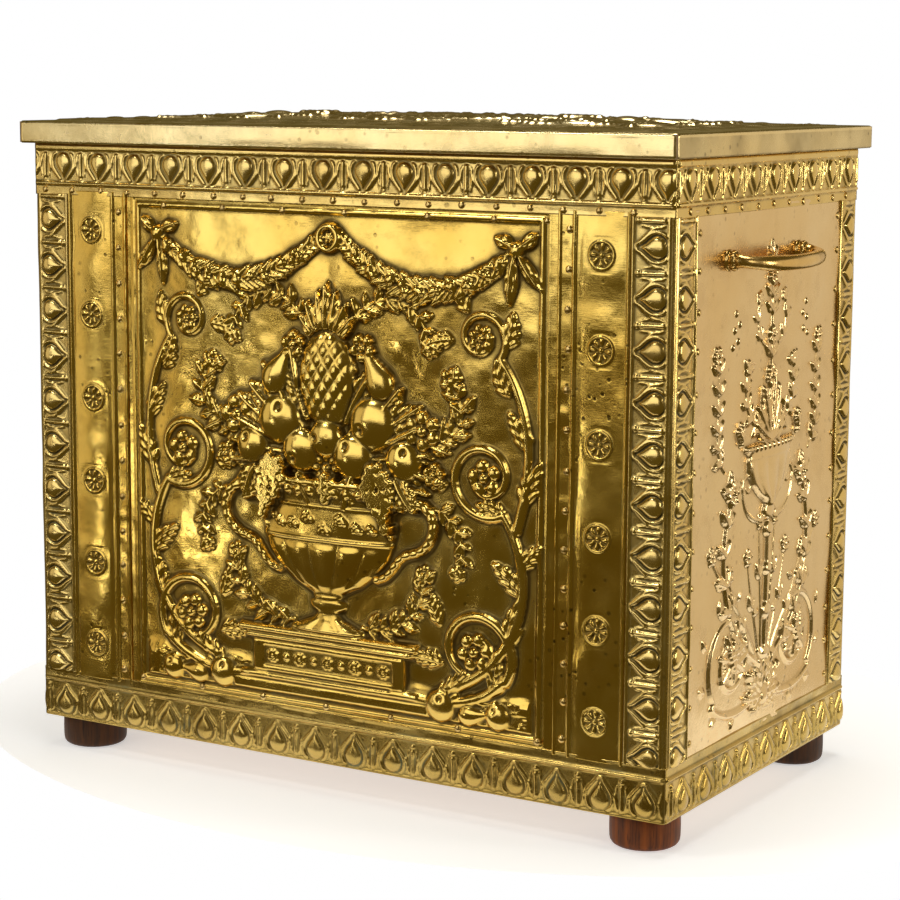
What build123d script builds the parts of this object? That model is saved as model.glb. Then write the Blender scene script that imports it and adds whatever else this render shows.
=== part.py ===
from build123d import *
from math import cos, radians, sin
import os

os.makedirs("parts", exist_ok=True)

# ---------------------------------------------------------------------------
# Brass-clad kindling box on four turned feet, with a lid hinged at the back.
# Millimetres, +Z up, front face towards -Y, the floor at Z = 0, the origin
# under the centre of the whole outline.
# ---------------------------------------------------------------------------

# body
body_w = 560.0            # across the brass, X
body_d = 320.0            # front to back over the brass, Y
body_h = 461.5            # walls, without feet and lid
board_t = 12.0            # carcass boards
sheet_t = 0.8             # one layer of brass
# feet
foot_r = 25.5
foot_h = 25.5
foot_edge_r = 6.0
foot_in_x = 28.7          # foot centre in from the side face
foot_in_front = 27.8
foot_in_back = 32.4
foot_screw_r = 2.1
foot_screw_head_r = 4.5
foot_screw_head_h = 3.0
foot_cbore_r = 5.5
foot_cbore_d = 10.0
foot_screw_grip = 9.0     # length held in the bottom board
# lid
lid_board_t = 16.0
lid_gap = 0.6             # lid underside above the walls
lid_over_side = 6.0
lid_over_front = 12.0
lid_over_back = 15.0
lid_lip = 4.6             # brass turned in under the lid board
lid_field_h = 5.0         # pressed-up field on the lid
lid_field_in = 44.0       # its margin from the lid edge
# borders
band_h = 40.0             # top and bottom bands
strip_w = 33.0            # each leg of a corner strip
rib_h = 1.2
rib_w = 2.5
top_rib_z = 430.5         # above the body underside
bottom_rib_z = 30.5
# front layout
picture_half_w = 190.0
picture_field_h = 6.0
picture_field_half_w = 170.0
rosette_x = 224.5
rosette_r = 10.0
rosette_h = 1.4
rosette_z = [66.0, 131.8, 197.6, 263.4, 329.2, 395.0]
# dome-headed nails
nail_head_r = 2.9
nail_head_h = 1.5
nail_shank_r = 0.8
nail_len = 9.5
nail_pitch = 27.3
nail_row_z = 425.0
nail_col_x = 198.0
nail_col_z0 = 48.0
nail_col_pitch = 27.92
nail_col_n = 14
# hinges
hinge_x = 180.0
leaf_len = 60.0
leaf_t = 1.2
leaf_down = 24.0          # body leaf below the pin
leaf_in = 16.0            # lid leaf forward of the pin
knuckle_r = 3.2
pin_r = 1.5
pin_run = 0.05            # running clearance in the lid leaf
knuckle_gap = 0.3
hinge_screw_r = 1.4
hinge_screw_head_r = 2.6
hinge_screw_len = 11.0
lid_open_deg = 100.0
# handles
handle_z = 388.5          # above the body underside
handle_y1 = 86.0          # back from the front face
handle_y2 = 208.5
handle_out = 30.0         # middle of the bow out from the side face
handle_drop = 6.0         # the bow leans down this far at its middle
handle_r = 4.6
handle_neck = 1.8
collar_h = 8.0
stud_r = 2.5
washer_r = 6.0
washer_t = 1.0
nut_r = 4.6
nut_t = 4.0

# derived levels and planes
z0 = foot_h
zt = foot_h + body_h
total_d = body_d + lid_over_front + lid_over_back
yf = -total_d / 2 + lid_over_front
yb = yf + body_d
xs = body_w / 2
lay1 = sheet_t            # inner sheet: its face lies this far inside the outline
lay2 = 2 * sheet_t        # board face
xb = xs - lay2            # board face, sides
yfb = yf + lay2           # board face, front
ybb = yb - lay2           # board face, back
lid_z0 = zt + lid_gap
lid_x = xs + lid_over_side
lid_y0 = yf - lid_over_front
lid_y1 = yb + lid_over_back
lid_top = lid_z0 + lid_board_t + sheet_t
axis_y = yb + knuckle_r + 0.4
axis_z = lid_z0 - knuckle_r - 0.4
notch_z = lid_z0 - leaf_t - 0.3
hz = z0 + handle_z
hy = [yf + handle_y1, yf + handle_y2]

MID = (Align.CENTER, Align.CENTER, Align.MIN)
LOW = (Align.MIN, Align.MIN, Align.MIN)


def keep(piece, name):
    piece.part.label = name
    export_step(piece.part, "parts/" + name + ".step")


# ------------------------------------------------------------------ carcass
front_len = 2 * xb
side_y0 = yfb + board_t
side_y1 = ybb - board_t
side_len = side_y1 - side_y0
side_mid = (side_y0 + side_y1) / 2

with BuildPart() as front_board:
    with BuildSketch(Plane.XY.offset(z0)):
        with Locations((0, yfb + board_t / 2)):
            Rectangle(front_len, board_t)
    extrude(amount=body_h)
keep(front_board, "front_board")

with BuildPart() as back_board:
    with BuildSketch(Plane.XY.offset(z0)):
        with Locations((0, ybb - board_t / 2)):
            Rectangle(front_len, board_t)
    extrude(amount=body_h)
    with Locations((-hinge_x, ybb - board_t / 2, notch_z), (hinge_x, ybb - board_t / 2, notch_z)):
        Box(leaf_len + 2, board_t + 2, 10, align=MID, mode=Mode.SUBTRACT)
keep(back_board, "back_board")

for side_name, side in (("left", -1), ("right", 1)):
    with BuildPart() as side_board:
        with BuildSketch(Plane.XY.offset(z0)):
            with Locations((side * (xb - board_t / 2), side_mid)):
                Rectangle(board_t, side_len)
        extrude(amount=body_h)
        with Locations(*[Location((side * (xb - board_t / 2), y, hz), (0, 90, 0)) for y in hy]):
            Cylinder(stud_r + 0.25, board_t + 4, mode=Mode.SUBTRACT)
    keep(side_board, side_name + "_board")

with BuildPart() as bottom_board:
    with BuildSketch(Plane.XY.offset(z0)):
        with Locations((0, side_mid)):
            Rectangle(2 * (xb - board_t), side_len)
    extrude(amount=board_t)
keep(bottom_board, "bottom_board")

# panel pins that join the boards, heads flush under the brass
with BuildPart() as panel_pin:
    with BuildSketch(Plane.XZ) as pin_profile:
        with BuildLine():
            Polyline((0, 0), (1.7, 0), (1.7, -1.0), (0.8, -1.4), (0.8, -31.0), (0, -33.0), close=True)
        make_face()
    revolve(axis=Axis.Z)

pin_rows = [z0 + 45, z0 + 135, z0 + 230, z0 + 325, z0 + 415]
pin_places = []
for x in (-(xb - board_t / 2), xb - board_t / 2):
    for z in pin_rows:
        pin_places.append(Location((x, yfb, z), (90, 0, 0)))
        pin_places.append(Location((x, ybb, z), (-90, 0, 0)))
for y in (-90.0, 0.0, 90.0):
    pin_places.append(Location((xb, y, z0 + board_t / 2), (0, 90, 0)))
    pin_places.append(Location((-xb, y, z0 + board_t / 2), (0, -90, 0)))
for x in (-180.0, -60.0, 60.0, 180.0):
    pin_places.append(Location((x, yfb, z0 + board_t / 2), (90, 0, 0)))
    pin_places.append(Location((x, ybb, z0 + board_t / 2), (-90, 0, 0)))
with BuildPart() as carcass_pins:
    with Locations(*pin_places):
        add(panel_pin.part)
keep(carcass_pins, "carcass_pins")

# --------------------------------------------------------------------- feet
foot_places = {
    "front_left_foot": (-(xs - foot_in_x), yf + foot_in_front),
    "front_right_foot": (xs - foot_in_x, yf + foot_in_front),
    "back_left_foot": (-(xs - foot_in_x), yb - foot_in_back),
    "back_right_foot": (xs - foot_in_x, yb - foot_in_back),
}
for foot_name, (fx, fy) in foot_places.items():
    with BuildPart() as foot:
        with BuildSketch(Plane.XY):
            with Locations((fx, fy)):
                Circle(foot_r)
        extrude(amount=foot_h)
        fillet(foot.edges().filter_by(GeomType.CIRCLE).sort_by(Axis.Z)[0], radius=foot_edge_r)
        with Locations((fx, fy, 0)):
            Cylinder(foot_cbore_r, foot_cbore_d, align=MID, mode=Mode.SUBTRACT)
            Cylinder(foot_screw_r + 0.2, foot_h, align=MID, mode=Mode.SUBTRACT)
    keep(foot, foot_name)

with BuildPart() as foot_screws:
    with Locations(*[(fx, fy, foot_cbore_d - foot_screw_head_h) for fx, fy in foot_places.values()]):
        Cylinder(foot_screw_head_r, foot_screw_head_h, align=MID)
        Cylinder(foot_screw_r, foot_h - foot_cbore_d + foot_screw_head_h + foot_screw_grip, align=MID)
        with Locations((0, 0, -0.01)):
            Box(1.2, 2 * foot_screw_head_r + 1, 1.3, align=MID, mode=Mode.SUBTRACT)
keep(foot_screws, "foot_screws")

# ------------------------------------------------------- inner brass sheets
# front: picture sheet between two rosette strips, all on the board
with BuildPart() as front_picture_sheet:
    with BuildSketch(Plane.XZ.offset(-yfb)):
        with Locations((0, z0 + body_h / 2)):
            Rectangle(2 * picture_half_w, body_h)
    extrude(amount=sheet_t)
    # the pressed-up field of the relief, hollow behind
    with BuildSketch(Plane.XZ.offset(-yfb)):
        with Locations((0, z0 + 230.5)):
            Rectangle(2 * picture_field_half_w, 360)
    extrude(amount=sheet_t + picture_field_h, taper=40)
    with BuildSketch(Plane.XZ.offset(-yfb)):
        with Locations((0, z0 + 230.5)):
            Rectangle(2 * picture_field_half_w - 2.4, 357.6)
    extrude(amount=picture_field_h, taper=40, mode=Mode.SUBTRACT)
keep(front_picture_sheet, "front_picture_sheet")

for side_name, side in (("left", -1), ("right", 1)):
    x_mid = side * (picture_half_w + (xs - lay1)) / 2
    with BuildPart() as rosette_strip:
        with BuildSketch(Plane.XZ.offset(-yfb)):
            with Locations((x_mid, z0 + body_h / 2)):
                Rectangle(xs - lay1 - picture_half_w, body_h)
        extrude(amount=sheet_t)
        with BuildSketch(Plane.XZ.offset(-(yf + lay1))):
            with Locations(*[(side * rosette_x, z0 + z) for z in rosette_z]):
                Circle(rosette_r)
        extrude(amount=rosette_h, taper=35)
        with BuildSketch(Plane.XZ.offset(-(yf + lay1))):
            with Locations((side * 203.5, z0 + body_h / 2), (side * 245.0, z0 + body_h / 2)):
                Rectangle(2.0, body_h - 2 * band_h - 2)
        extrude(amount=rib_h)
        with BuildSketch(Plane.XZ.offset(-(yf + lay1))):
            with Locations(*[(side * rosette_x + 6.2 * dx, z0 + z + 6.2 * dz) for z in rosette_z
                             for dx, dz in ((1, 0), (0.7071, 0.7071), (0, 1), (-0.7071, 0.7071),
                                            (-1, 0), (-0.7071, -0.7071), (0, -1), (0.7071, -0.7071))]):
                Circle(1.7)
        extrude(amount=rosette_h + 0.8)
    keep(rosette_strip, side_name + "_rosette_strip")

for side_name, side in (("left", -1), ("right", 1)):
    with BuildPart() as side_sheet:
        with BuildSketch(Plane.XY.offset(z0)):
            with Locations((side * (xb + sheet_t / 2), (yfb + ybb) / 2)):
                Rectangle(sheet_t, ybb - yfb)
        extrude(amount=body_h)
        with Locations(*[Location((side * xb, y, hz), (0, 90, 0)) for y in hy]):
            Cylinder(stud_r + 0.25, 6, mode=Mode.SUBTRACT)
    keep(side_sheet, side_name + "_side_sheet")

with BuildPart() as back_sheet:
    with BuildSketch(Plane.XY.offset(z0)):
        with Locations((0, ybb + sheet_t / 2)):
            Rectangle(2 * (xs - lay1), sheet_t)
    extrude(amount=body_h)
    with Locations((-hinge_x, ybb, notch_z), (hinge_x, ybb, notch_z)):
        Box(leaf_len + 2, 6, 10, align=MID, mode=Mode.SUBTRACT)
keep(back_sheet, "back_sheet")

# ------------------------------------------------------------ corner strips
corner_h = body_h - 2 * band_h
for strip_name, sx, sy in (("front_left_corner_strip", -1, -1), ("front_right_corner_strip", 1, -1),
                           ("back_left_corner_strip", -1, 1), ("back_right_corner_strip", 1, 1)):
    cy = yf if sy < 0 else yb
    with BuildPart() as corner_strip:
        with BuildSketch(Plane.XY.offset(z0 + band_h)):
            with Locations((sx * (xs - strip_w / 2), cy - sy * sheet_t / 2)):
                Rectangle(strip_w, sheet_t)
            with Locations((sx * (xs - sheet_t / 2), cy - sy * strip_w / 2)):
                Rectangle(sheet_t, strip_w)
            # raised ribs beside the motif row, and the bead on the corner
            with Locations((sx * (xs - 4.0), cy + sy * rib_h / 2 - sy * 0.1), (sx * (xs - strip_w + 1.5), cy + sy * rib_h / 2 - sy * 0.1)):
                Rectangle(1.8, rib_h + 0.2)
            with Locations((sx * (xs + rib_h / 2 - 0.1), cy - sy * 4.0), (sx * (xs + rib_h / 2 - 0.1), cy - sy * (strip_w - 1.5))):
                Rectangle(rib_h + 0.2, 1.8)
        extrude(amount=corner_h)
    keep(corner_strip, strip_name)

# -------------------------------------------------------------------- bands
top_z = z0 + body_h - band_h
for level, zc, zr in (("top", top_z + band_h / 2, z0 + top_rib_z), ("bottom", z0 + band_h / 2, z0 + bottom_rib_z)):
    for face, sy in (("front", -1), ("back", 1)):
        cy = yf if sy < 0 else yb
        with BuildPart() as face_band:
            with BuildSketch(Plane.YZ.offset(-xs)):
                with Locations((cy - sy * sheet_t / 2, zc)):
                    Rectangle(sheet_t, band_h)
                with Locations((cy + sy * (rib_h / 2 - 0.1), zr)):
                    Rectangle(rib_h + 0.2, rib_w)
            extrude(amount=2 * xs)
            if level == "top" and face == "back":
                with Locations((-hinge_x, yb, notch_z), (hinge_x, yb, notch_z)):
                    Box(leaf_len + 2, 6, 10, align=MID, mode=Mode.SUBTRACT)
        keep(face_band, level + "_band_" + face)
    for face, sx in (("left", -1), ("right", 1)):
        with BuildPart() as side_band:
            with BuildSketch(Plane.XZ.offset(-(yf + sheet_t))):
                with Locations((sx * (xs - sheet_t / 2), zc)):
                    Rectangle(sheet_t, band_h)
                with Locations((sx * (xs + rib_h / 2 - 0.1), zr)):
                    Rectangle(rib_h + 0.2, rib_w)
            extrude(amount=-(body_d - 2 * sheet_t))
        keep(side_band, level + "_band_" + face)

# -------------------------------------------------------------------- nails
with BuildPart() as nail:
    with BuildSketch(Plane.XZ):
        with BuildLine():
            Polyline((0, nail_head_h), (0.36 * nail_head_r, 0.92 * nail_head_h), (0.72 * nail_head_r, 0.62 * nail_head_h),
                     (nail_head_r, 0), (nail_shank_r, 0), (nail_shank_r, 1.6 - nail_len), (0, -nail_len), close=True)
        make_face()
    revolve(axis=Axis.Z)

row_x = [3.0 + nail_pitch * k for k in range(-10, 11) if abs(3.0 + nail_pitch * k) < 272]
col_z = [z0 + nail_col_z0 + nail_col_pitch * k for k in range(nail_col_n)]
row_y = [yf + 22.0 + 27.6 * k for k in range(11)]

front_places = [Location((x, yf, z0 + nail_row_z), (90, 0, 0)) for x in row_x]
front_places += [Location((sx * nail_col_x, yf + lay1, z), (90, 0, 0)) for sx in (-1, 1) for z in col_z]
front_places += [Location((x, yf + lay1, z0 + 416.5), (90, 0, 0)) for x in (-152, -97, -42, 13, 84, 139, 181)]
front_places += [Location((x, yf + lay1, z0 + 44.5), (90, 0, 0)) for x in (-178, -120, -62, -4, 54, 112, 178)]
with BuildPart() as front_nails:
    with Locations(*front_places):
        add(nail.part)
keep(front_nails, "front_nails")

back_places = [Location((x, yb, z0 + nail_row_z), (-90, 0, 0)) for x in row_x]
back_places += [Location((sx * 239.0, yb - lay1, z), (-90, 0, 0)) for sx in (-1, 1) for z in col_z]
with BuildPart() as back_nails:
    with Locations(*back_places):
        add(nail.part)
keep(back_nails, "back_nails")

for side_name, side in (("left", -1), ("right", 1)):
    side_places = [Location((side * xs, y, z0 + nail_row_z), (0, side * 90, 0)) for y in row_y]
    side_places += [Location((side * (xs - lay1), y, z), (0, side * 90, 0))
                    for y in (yf + 38.0, yb - 38.0) for z in col_z]
    with BuildPart() as side_nails:
        with Locations(*side_places):
            add(nail.part)
    keep(side_nails, side_name + "_nails")

# ---------------------------------------------------------------------- lid
lid_bx = lid_x - sheet_t
lid_by0 = lid_y0 + sheet_t
lid_by1 = lid_y1 - sheet_t
with BuildPart() as lid_board:
    with BuildSketch(Plane.XY.offset(lid_z0)):
        with Locations((0, (lid_by0 + lid_by1) / 2)):
            Rectangle(2 * lid_bx, lid_by1 - lid_by0)
    extrude(amount=lid_board_t)
keep(lid_board, "lid_board")

lid_w = 2 * lid_x
lid_d = lid_y1 - lid_y0
with BuildPart() as lid_sheet:
    # outer form with its rounded rim, from the turned-in lip to the top
    with BuildSketch(Plane.XY.offset(lid_z0 - sheet_t)):
        Rectangle(lid_w, lid_d)
    extrude(amount=lid_board_t + 2 * sheet_t)
    # the pressed-up field
    with BuildSketch(Plane.XY.offset(lid_top)):
        Rectangle(lid_w - 2 * lid_field_in, lid_d - 2 * lid_field_in)
    extrude(amount=lid_field_h, taper=40)
    # room for the board
    with BuildSketch(Plane.XY.offset(lid_z0)):
        Rectangle(lid_w - 2 * sheet_t, lid_d - 2 * sheet_t)
    extrude(amount=lid_board_t, mode=Mode.SUBTRACT)
    # the lip is only a narrow frame under the board
    with BuildSketch(Plane.XY.offset(lid_z0 - 2)):
        Rectangle(lid_w - 2 * lid_lip, lid_d - 2 * lid_lip)
    extrude(amount=3, mode=Mode.SUBTRACT)
    # hollow behind the field
    with BuildSketch(Plane.XY.offset(lid_z0 + lid_board_t - 0.01)):
        Rectangle(lid_w - 2 * lid_field_in - 3.2, lid_d - 2 * lid_field_in - 3.2)
    extrude(amount=lid_field_h, taper=40, mode=Mode.SUBTRACT)
keep(lid_sheet, "lid_sheet")

# ------------------------------------------------------------------- hinges
n_knuckles = 5
k_len = (leaf_len - (n_knuckles - 1) * knuckle_gap) / n_knuckles
k_starts = [-leaf_len / 2 + i * (k_len + knuckle_gap) for i in range(n_knuckles)]
screw_dx = (-20.0, 0.0, 20.0)
body_screw_z = axis_z - 15.0
lid_screw_y = axis_y - 9.5

body_screw_places = []
lid_screw_places = []
for hinge_name, cx in (("left", -hinge_x), ("right", hinge_x)):
    body_screw_places += [Location((cx + dx, yb + leaf_t, body_screw_z), (-90, 0, 0)) for dx in screw_dx]
    lid_screw_places += [Location((cx + dx, lid_screw_y, lid_z0 - leaf_t), (180, 0, 0)) for dx in screw_dx]

    with BuildPart() as body_leaf:
        # leaf down the back of the body
        with Locations((cx, yb, axis_z - leaf_down)):
            Box(leaf_len, leaf_t, leaf_down, align=(Align.CENTER, Align.MIN, Align.MIN))
        # clearance for the lid leaf's knuckles
        with Locations(*[(cx + k_starts[i] - knuckle_gap, yb - 1, axis_z - knuckle_r - 0.8) for i in (1, 3)]):
            Box(k_len + 2 * knuckle_gap, leaf_t + 3, 10, align=LOW, mode=Mode.SUBTRACT)
        with Locations(*[Location((cx + k_starts[i], axis_y, axis_z), (0, 90, 0)) for i in (0, 2, 4)]):
            Cylinder(knuckle_r, k_len, align=MID)
        with Locations(Location((cx, axis_y, axis_z), (0, 90, 0))):
            Cylinder(pin_r, leaf_len + 4, mode=Mode.SUBTRACT)
        with Locations(*[Location((cx + dx, yb + leaf_t / 2, body_screw_z), (-90, 0, 0)) for dx in screw_dx]):
            Cone(hinge_screw_r + 0.1, hinge_screw_head_r + 0.1, leaf_t, mode=Mode.SUBTRACT)
        chamfer(body_leaf.edges().filter_by(Axis.Y).sort_by(Axis.Z)[:2], length=2.0)
    keep(body_leaf, hinge_name + "_hinge_body_leaf")

    with BuildPart() as lid_leaf:
        # leaf forward under the lid
        with Locations((cx, axis_y - leaf_in, lid_z0 - leaf_t)):
            Box(leaf_len, leaf_in, leaf_t, align=(Align.CENTER, Align.MIN, Align.MIN))
        # clearance for the body leaf's knuckles
        with Locations(*[(cx + k_starts[i] - knuckle_gap, axis_y - knuckle_r - 0.8, lid_z0 - leaf_t - 2) for i in (0, 2, 4)]):
            Box(k_len + 2 * knuckle_gap, 10, leaf_t + 4, align=LOW, mode=Mode.SUBTRACT)
        with Locations(*[Location((cx + k_starts[i], axis_y, axis_z), (0, 90, 0)) for i in (1, 3)]):
            Cylinder(knuckle_r, k_len, align=MID)
        with Locations(Location((cx, axis_y, axis_z), (0, 90, 0))):
            Cylinder(pin_r + pin_run, leaf_len + 4, mode=Mode.SUBTRACT)
        with Locations(*[Location((cx + dx, lid_screw_y, lid_z0 - leaf_t / 2), (180, 0, 0)) for dx in screw_dx]):
            Cone(hinge_screw_r + 0.1, hinge_screw_head_r + 0.1, leaf_t, mode=Mode.SUBTRACT)
    keep(lid_leaf, hinge_name + "_hinge_lid_leaf")

    with BuildPart() as hinge_pin:
        with Locations(Location((cx, axis_y, axis_z), (0, 90, 0))):
            Cylinder(pin_r, leaf_len + 1.6)
    keep(hinge_pin, hinge_name + "_hinge_pin")

with BuildPart() as hinge_screw:
    with BuildSketch(Plane.XZ):
        with BuildLine():
            Polyline((0, 0), (hinge_screw_head_r, 0), (hinge_screw_r, -leaf_t), (hinge_screw_r, -hinge_screw_len + 2.5),
                     (0, -hinge_screw_len), close=True)
        make_face()
    revolve(axis=Axis.Z)
    Box(0.7, 2 * hinge_screw_head_r + 1, 1.2, mode=Mode.SUBTRACT)

with BuildPart() as body_hinge_screws:
    with Locations(*body_screw_places):
        add(hinge_screw.part)
keep(body_hinge_screws, "body_hinge_screws")

with BuildPart() as lid_hinge_screws:
    with Locations(*lid_screw_places):
        add(hinge_screw.part)
keep(lid_hinge_screws, "lid_hinge_screws")

# ------------------------------------------------------------------ handles
bar_x = xs + handle_out
collar_x0 = xs - lay1
collar_x1 = collar_x0 + collar_h
stud_end = xb - board_t - washer_t - nut_t - 1.5
neck_x = collar_x1 + handle_neck
mid_y, half_y = (hy[0] + hy[1]) / 2, (hy[1] - hy[0]) / 2
bow_points = []
for step in range(9):
    turn = radians(22.5 * step)
    bow_points.append((neck_x + (bar_x - neck_x) * sin(turn), mid_y - half_y * cos(turn), hz - handle_drop * sin(turn)))
lean = Vector(bar_x - neck_x, 0, -handle_drop).normalized()
with BuildPart() as right_bow:
    with BuildLine() as bow_path:
        Spline(*bow_points, tangents=[lean, lean * -1])
    with BuildSketch(Plane(origin=bow_points[0], z_dir=lean)):
        Circle(handle_r)
    sweep()
    with Locations(*[Location(((collar_x1 + neck_x + 1.2) / 2, y, hz), (0, 90, 0)) for y in hy]):
        Cylinder(handle_r, handle_neck + 1.2)
    with Locations(*[Location(((stud_end + collar_x1) / 2, y, hz), (0, 90, 0)) for y in hy]):
        Cylinder(stud_r, collar_x1 - stud_end + 0.4)

for side_name, side in (("left", -1), ("right", 1)):
    with BuildPart() as handle_bow:
        add(right_bow.part if side > 0 else mirror(right_bow.part, about=Plane.YZ))
    keep(handle_bow, side_name + "_handle_bow")

    with BuildPart() as handle_collars:
        for y in hy:
            with BuildSketch(Plane.XY.offset(hz)):
                with BuildLine():
                    Polyline((side * collar_x0, y), (side * collar_x0, y + 8.0), (side * (collar_x0 + 1.6), y + 8.0),
                             (side * (collar_x0 + 2.6), y + 6.6), (side * (collar_x0 + 5.6), y + 7.2),
                             (side * (collar_x1 - 0.6), y + 5.8), (side * collar_x1, y + 4.8), (side * collar_x1, y), close=True)
                make_face()
            revolve(axis=Axis((0, y, hz), (1, 0, 0)))
        with Locations(*[Location((side * collar_x0, y, hz), (0, 90, 0)) for y in hy]):
            Cylinder(stud_r + 0.15, 30, mode=Mode.SUBTRACT)
    keep(handle_collars, side_name + "_handle_collars")

    with BuildPart() as handle_washers:
        with Locations(*[Location((side * (xb - board_t - washer_t / 2), y, hz), (0, 90, 0)) for y in hy]):
            Cylinder(washer_r, washer_t)
            Cylinder(stud_r + 0.15, washer_t + 2, mode=Mode.SUBTRACT)
    keep(handle_washers, side_name + "_handle_washers")

    with BuildPart() as handle_nuts:
        for y in hy:
            with BuildSketch(Plane(origin=(side * (xb - board_t - washer_t), y, hz), z_dir=(-side, 0, 0))):
                RegularPolygon(nut_r, 6)
                Circle(stud_r, mode=Mode.SUBTRACT)
            extrude(amount=nut_t)
    keep(handle_nuts, side_name + "_handle_nuts")

print("body", body_w, body_d, body_h, "top of walls", zt, "lid top", lid_top)
print("hinge axis y %.3f z %.3f" % (axis_y, axis_z))
print("front y %.3f back y %.3f lid y %.3f..%.3f" % (yf, yb, lid_y0, lid_y1))
print("handle z %.3f y %s bar x %.3f collar end %.3f stud end %.3f" % (hz, hy, bar_x, collar_x1, stud_end))
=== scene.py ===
import math
import bpy
import numpy as np
from mathutils import Matrix, Vector


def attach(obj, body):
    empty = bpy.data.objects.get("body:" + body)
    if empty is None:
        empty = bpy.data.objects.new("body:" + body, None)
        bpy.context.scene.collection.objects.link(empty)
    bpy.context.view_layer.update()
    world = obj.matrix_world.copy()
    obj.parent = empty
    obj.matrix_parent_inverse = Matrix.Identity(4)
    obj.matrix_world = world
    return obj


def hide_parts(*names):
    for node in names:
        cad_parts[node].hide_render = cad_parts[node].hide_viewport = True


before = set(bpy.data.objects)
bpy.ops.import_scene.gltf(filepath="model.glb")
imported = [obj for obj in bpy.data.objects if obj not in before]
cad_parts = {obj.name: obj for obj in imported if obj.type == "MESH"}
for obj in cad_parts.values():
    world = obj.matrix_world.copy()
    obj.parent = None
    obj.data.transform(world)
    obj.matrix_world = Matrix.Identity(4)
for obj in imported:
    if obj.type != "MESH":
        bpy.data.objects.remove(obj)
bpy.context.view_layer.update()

# ----------------------------------------------------------------------------
# Brass-clad kindling box. Lengths in this script are millimetres in the row
# frame and are turned into metres where meshes are made.
# ----------------------------------------------------------------------------
XS, YF, YB, Z0, ZT = 280.0, -161.5, 158.5, 25.5, 487.0
T = 0.8                     # one layer of brass
BAND = 40.0
STRIP = 33.0
LIDX, LIDY, LIDZ0, LIDTOP = 286.0, 173.5, 487.6, 504.4
HZ, HY1, HY2 = 414.0, -75.5, 47.0


# ------------------------------------------------------------------ noise
def lattice(seed, n=96):
    return np.random.RandomState(seed).rand(n, n).astype(np.float32) * 2 - 1


def vnoise(u, v, scale, seed):
    g = lattice(seed)
    n = g.shape[0]
    x, y = u / scale + 11.3, v / scale + 7.7
    xi, yi = np.floor(x).astype(int), np.floor(y).astype(int)
    fx, fy = x - xi, y - yi
    fx, fy = fx * fx * fx * (fx * (fx * 6 - 15) + 10), fy * fy * fy * (fy * (fy * 6 - 15) + 10)
    a, b = g[yi % n, xi % n], g[yi % n, (xi + 1) % n]
    c, d = g[(yi + 1) % n, xi % n], g[(yi + 1) % n, (xi + 1) % n]
    return (a * (1 - fx) + b * fx) * (1 - fy) + (c * (1 - fx) + d * fx) * fy


def fbm(u, v, scale, seed, octaves=3, gain=0.5):
    out, amp = 0, 1.0
    for k in range(octaves):
        out = out + amp * vnoise(u, v, scale / 2 ** k, seed + 31 * k)
        amp *= gain
    return out


def blur(a, sigma):
    """Separable Gaussian blur, sigma in grid steps."""
    r = max(1, int(math.ceil(sigma * 2.6)))
    k = np.exp(-0.5 * (np.arange(-r, r + 1) / sigma) ** 2)
    k /= k.sum()
    for axis in (0, 1):
        pad = [(0, 0), (0, 0)]
        pad[axis] = (r, r)
        b = np.pad(a, pad, mode="edge")
        out = np.zeros_like(a)
        for i, w in enumerate(k):
            out += w * (b[i:i + a.shape[0], :] if axis == 0 else b[:, i:i + a.shape[1]])
        a = out
    return a


def smooth(e0, e1, x):
    t = np.clip((x - e0) / (e1 - e0), 0, 1)
    return t * t * (3 - 2 * t)


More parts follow.
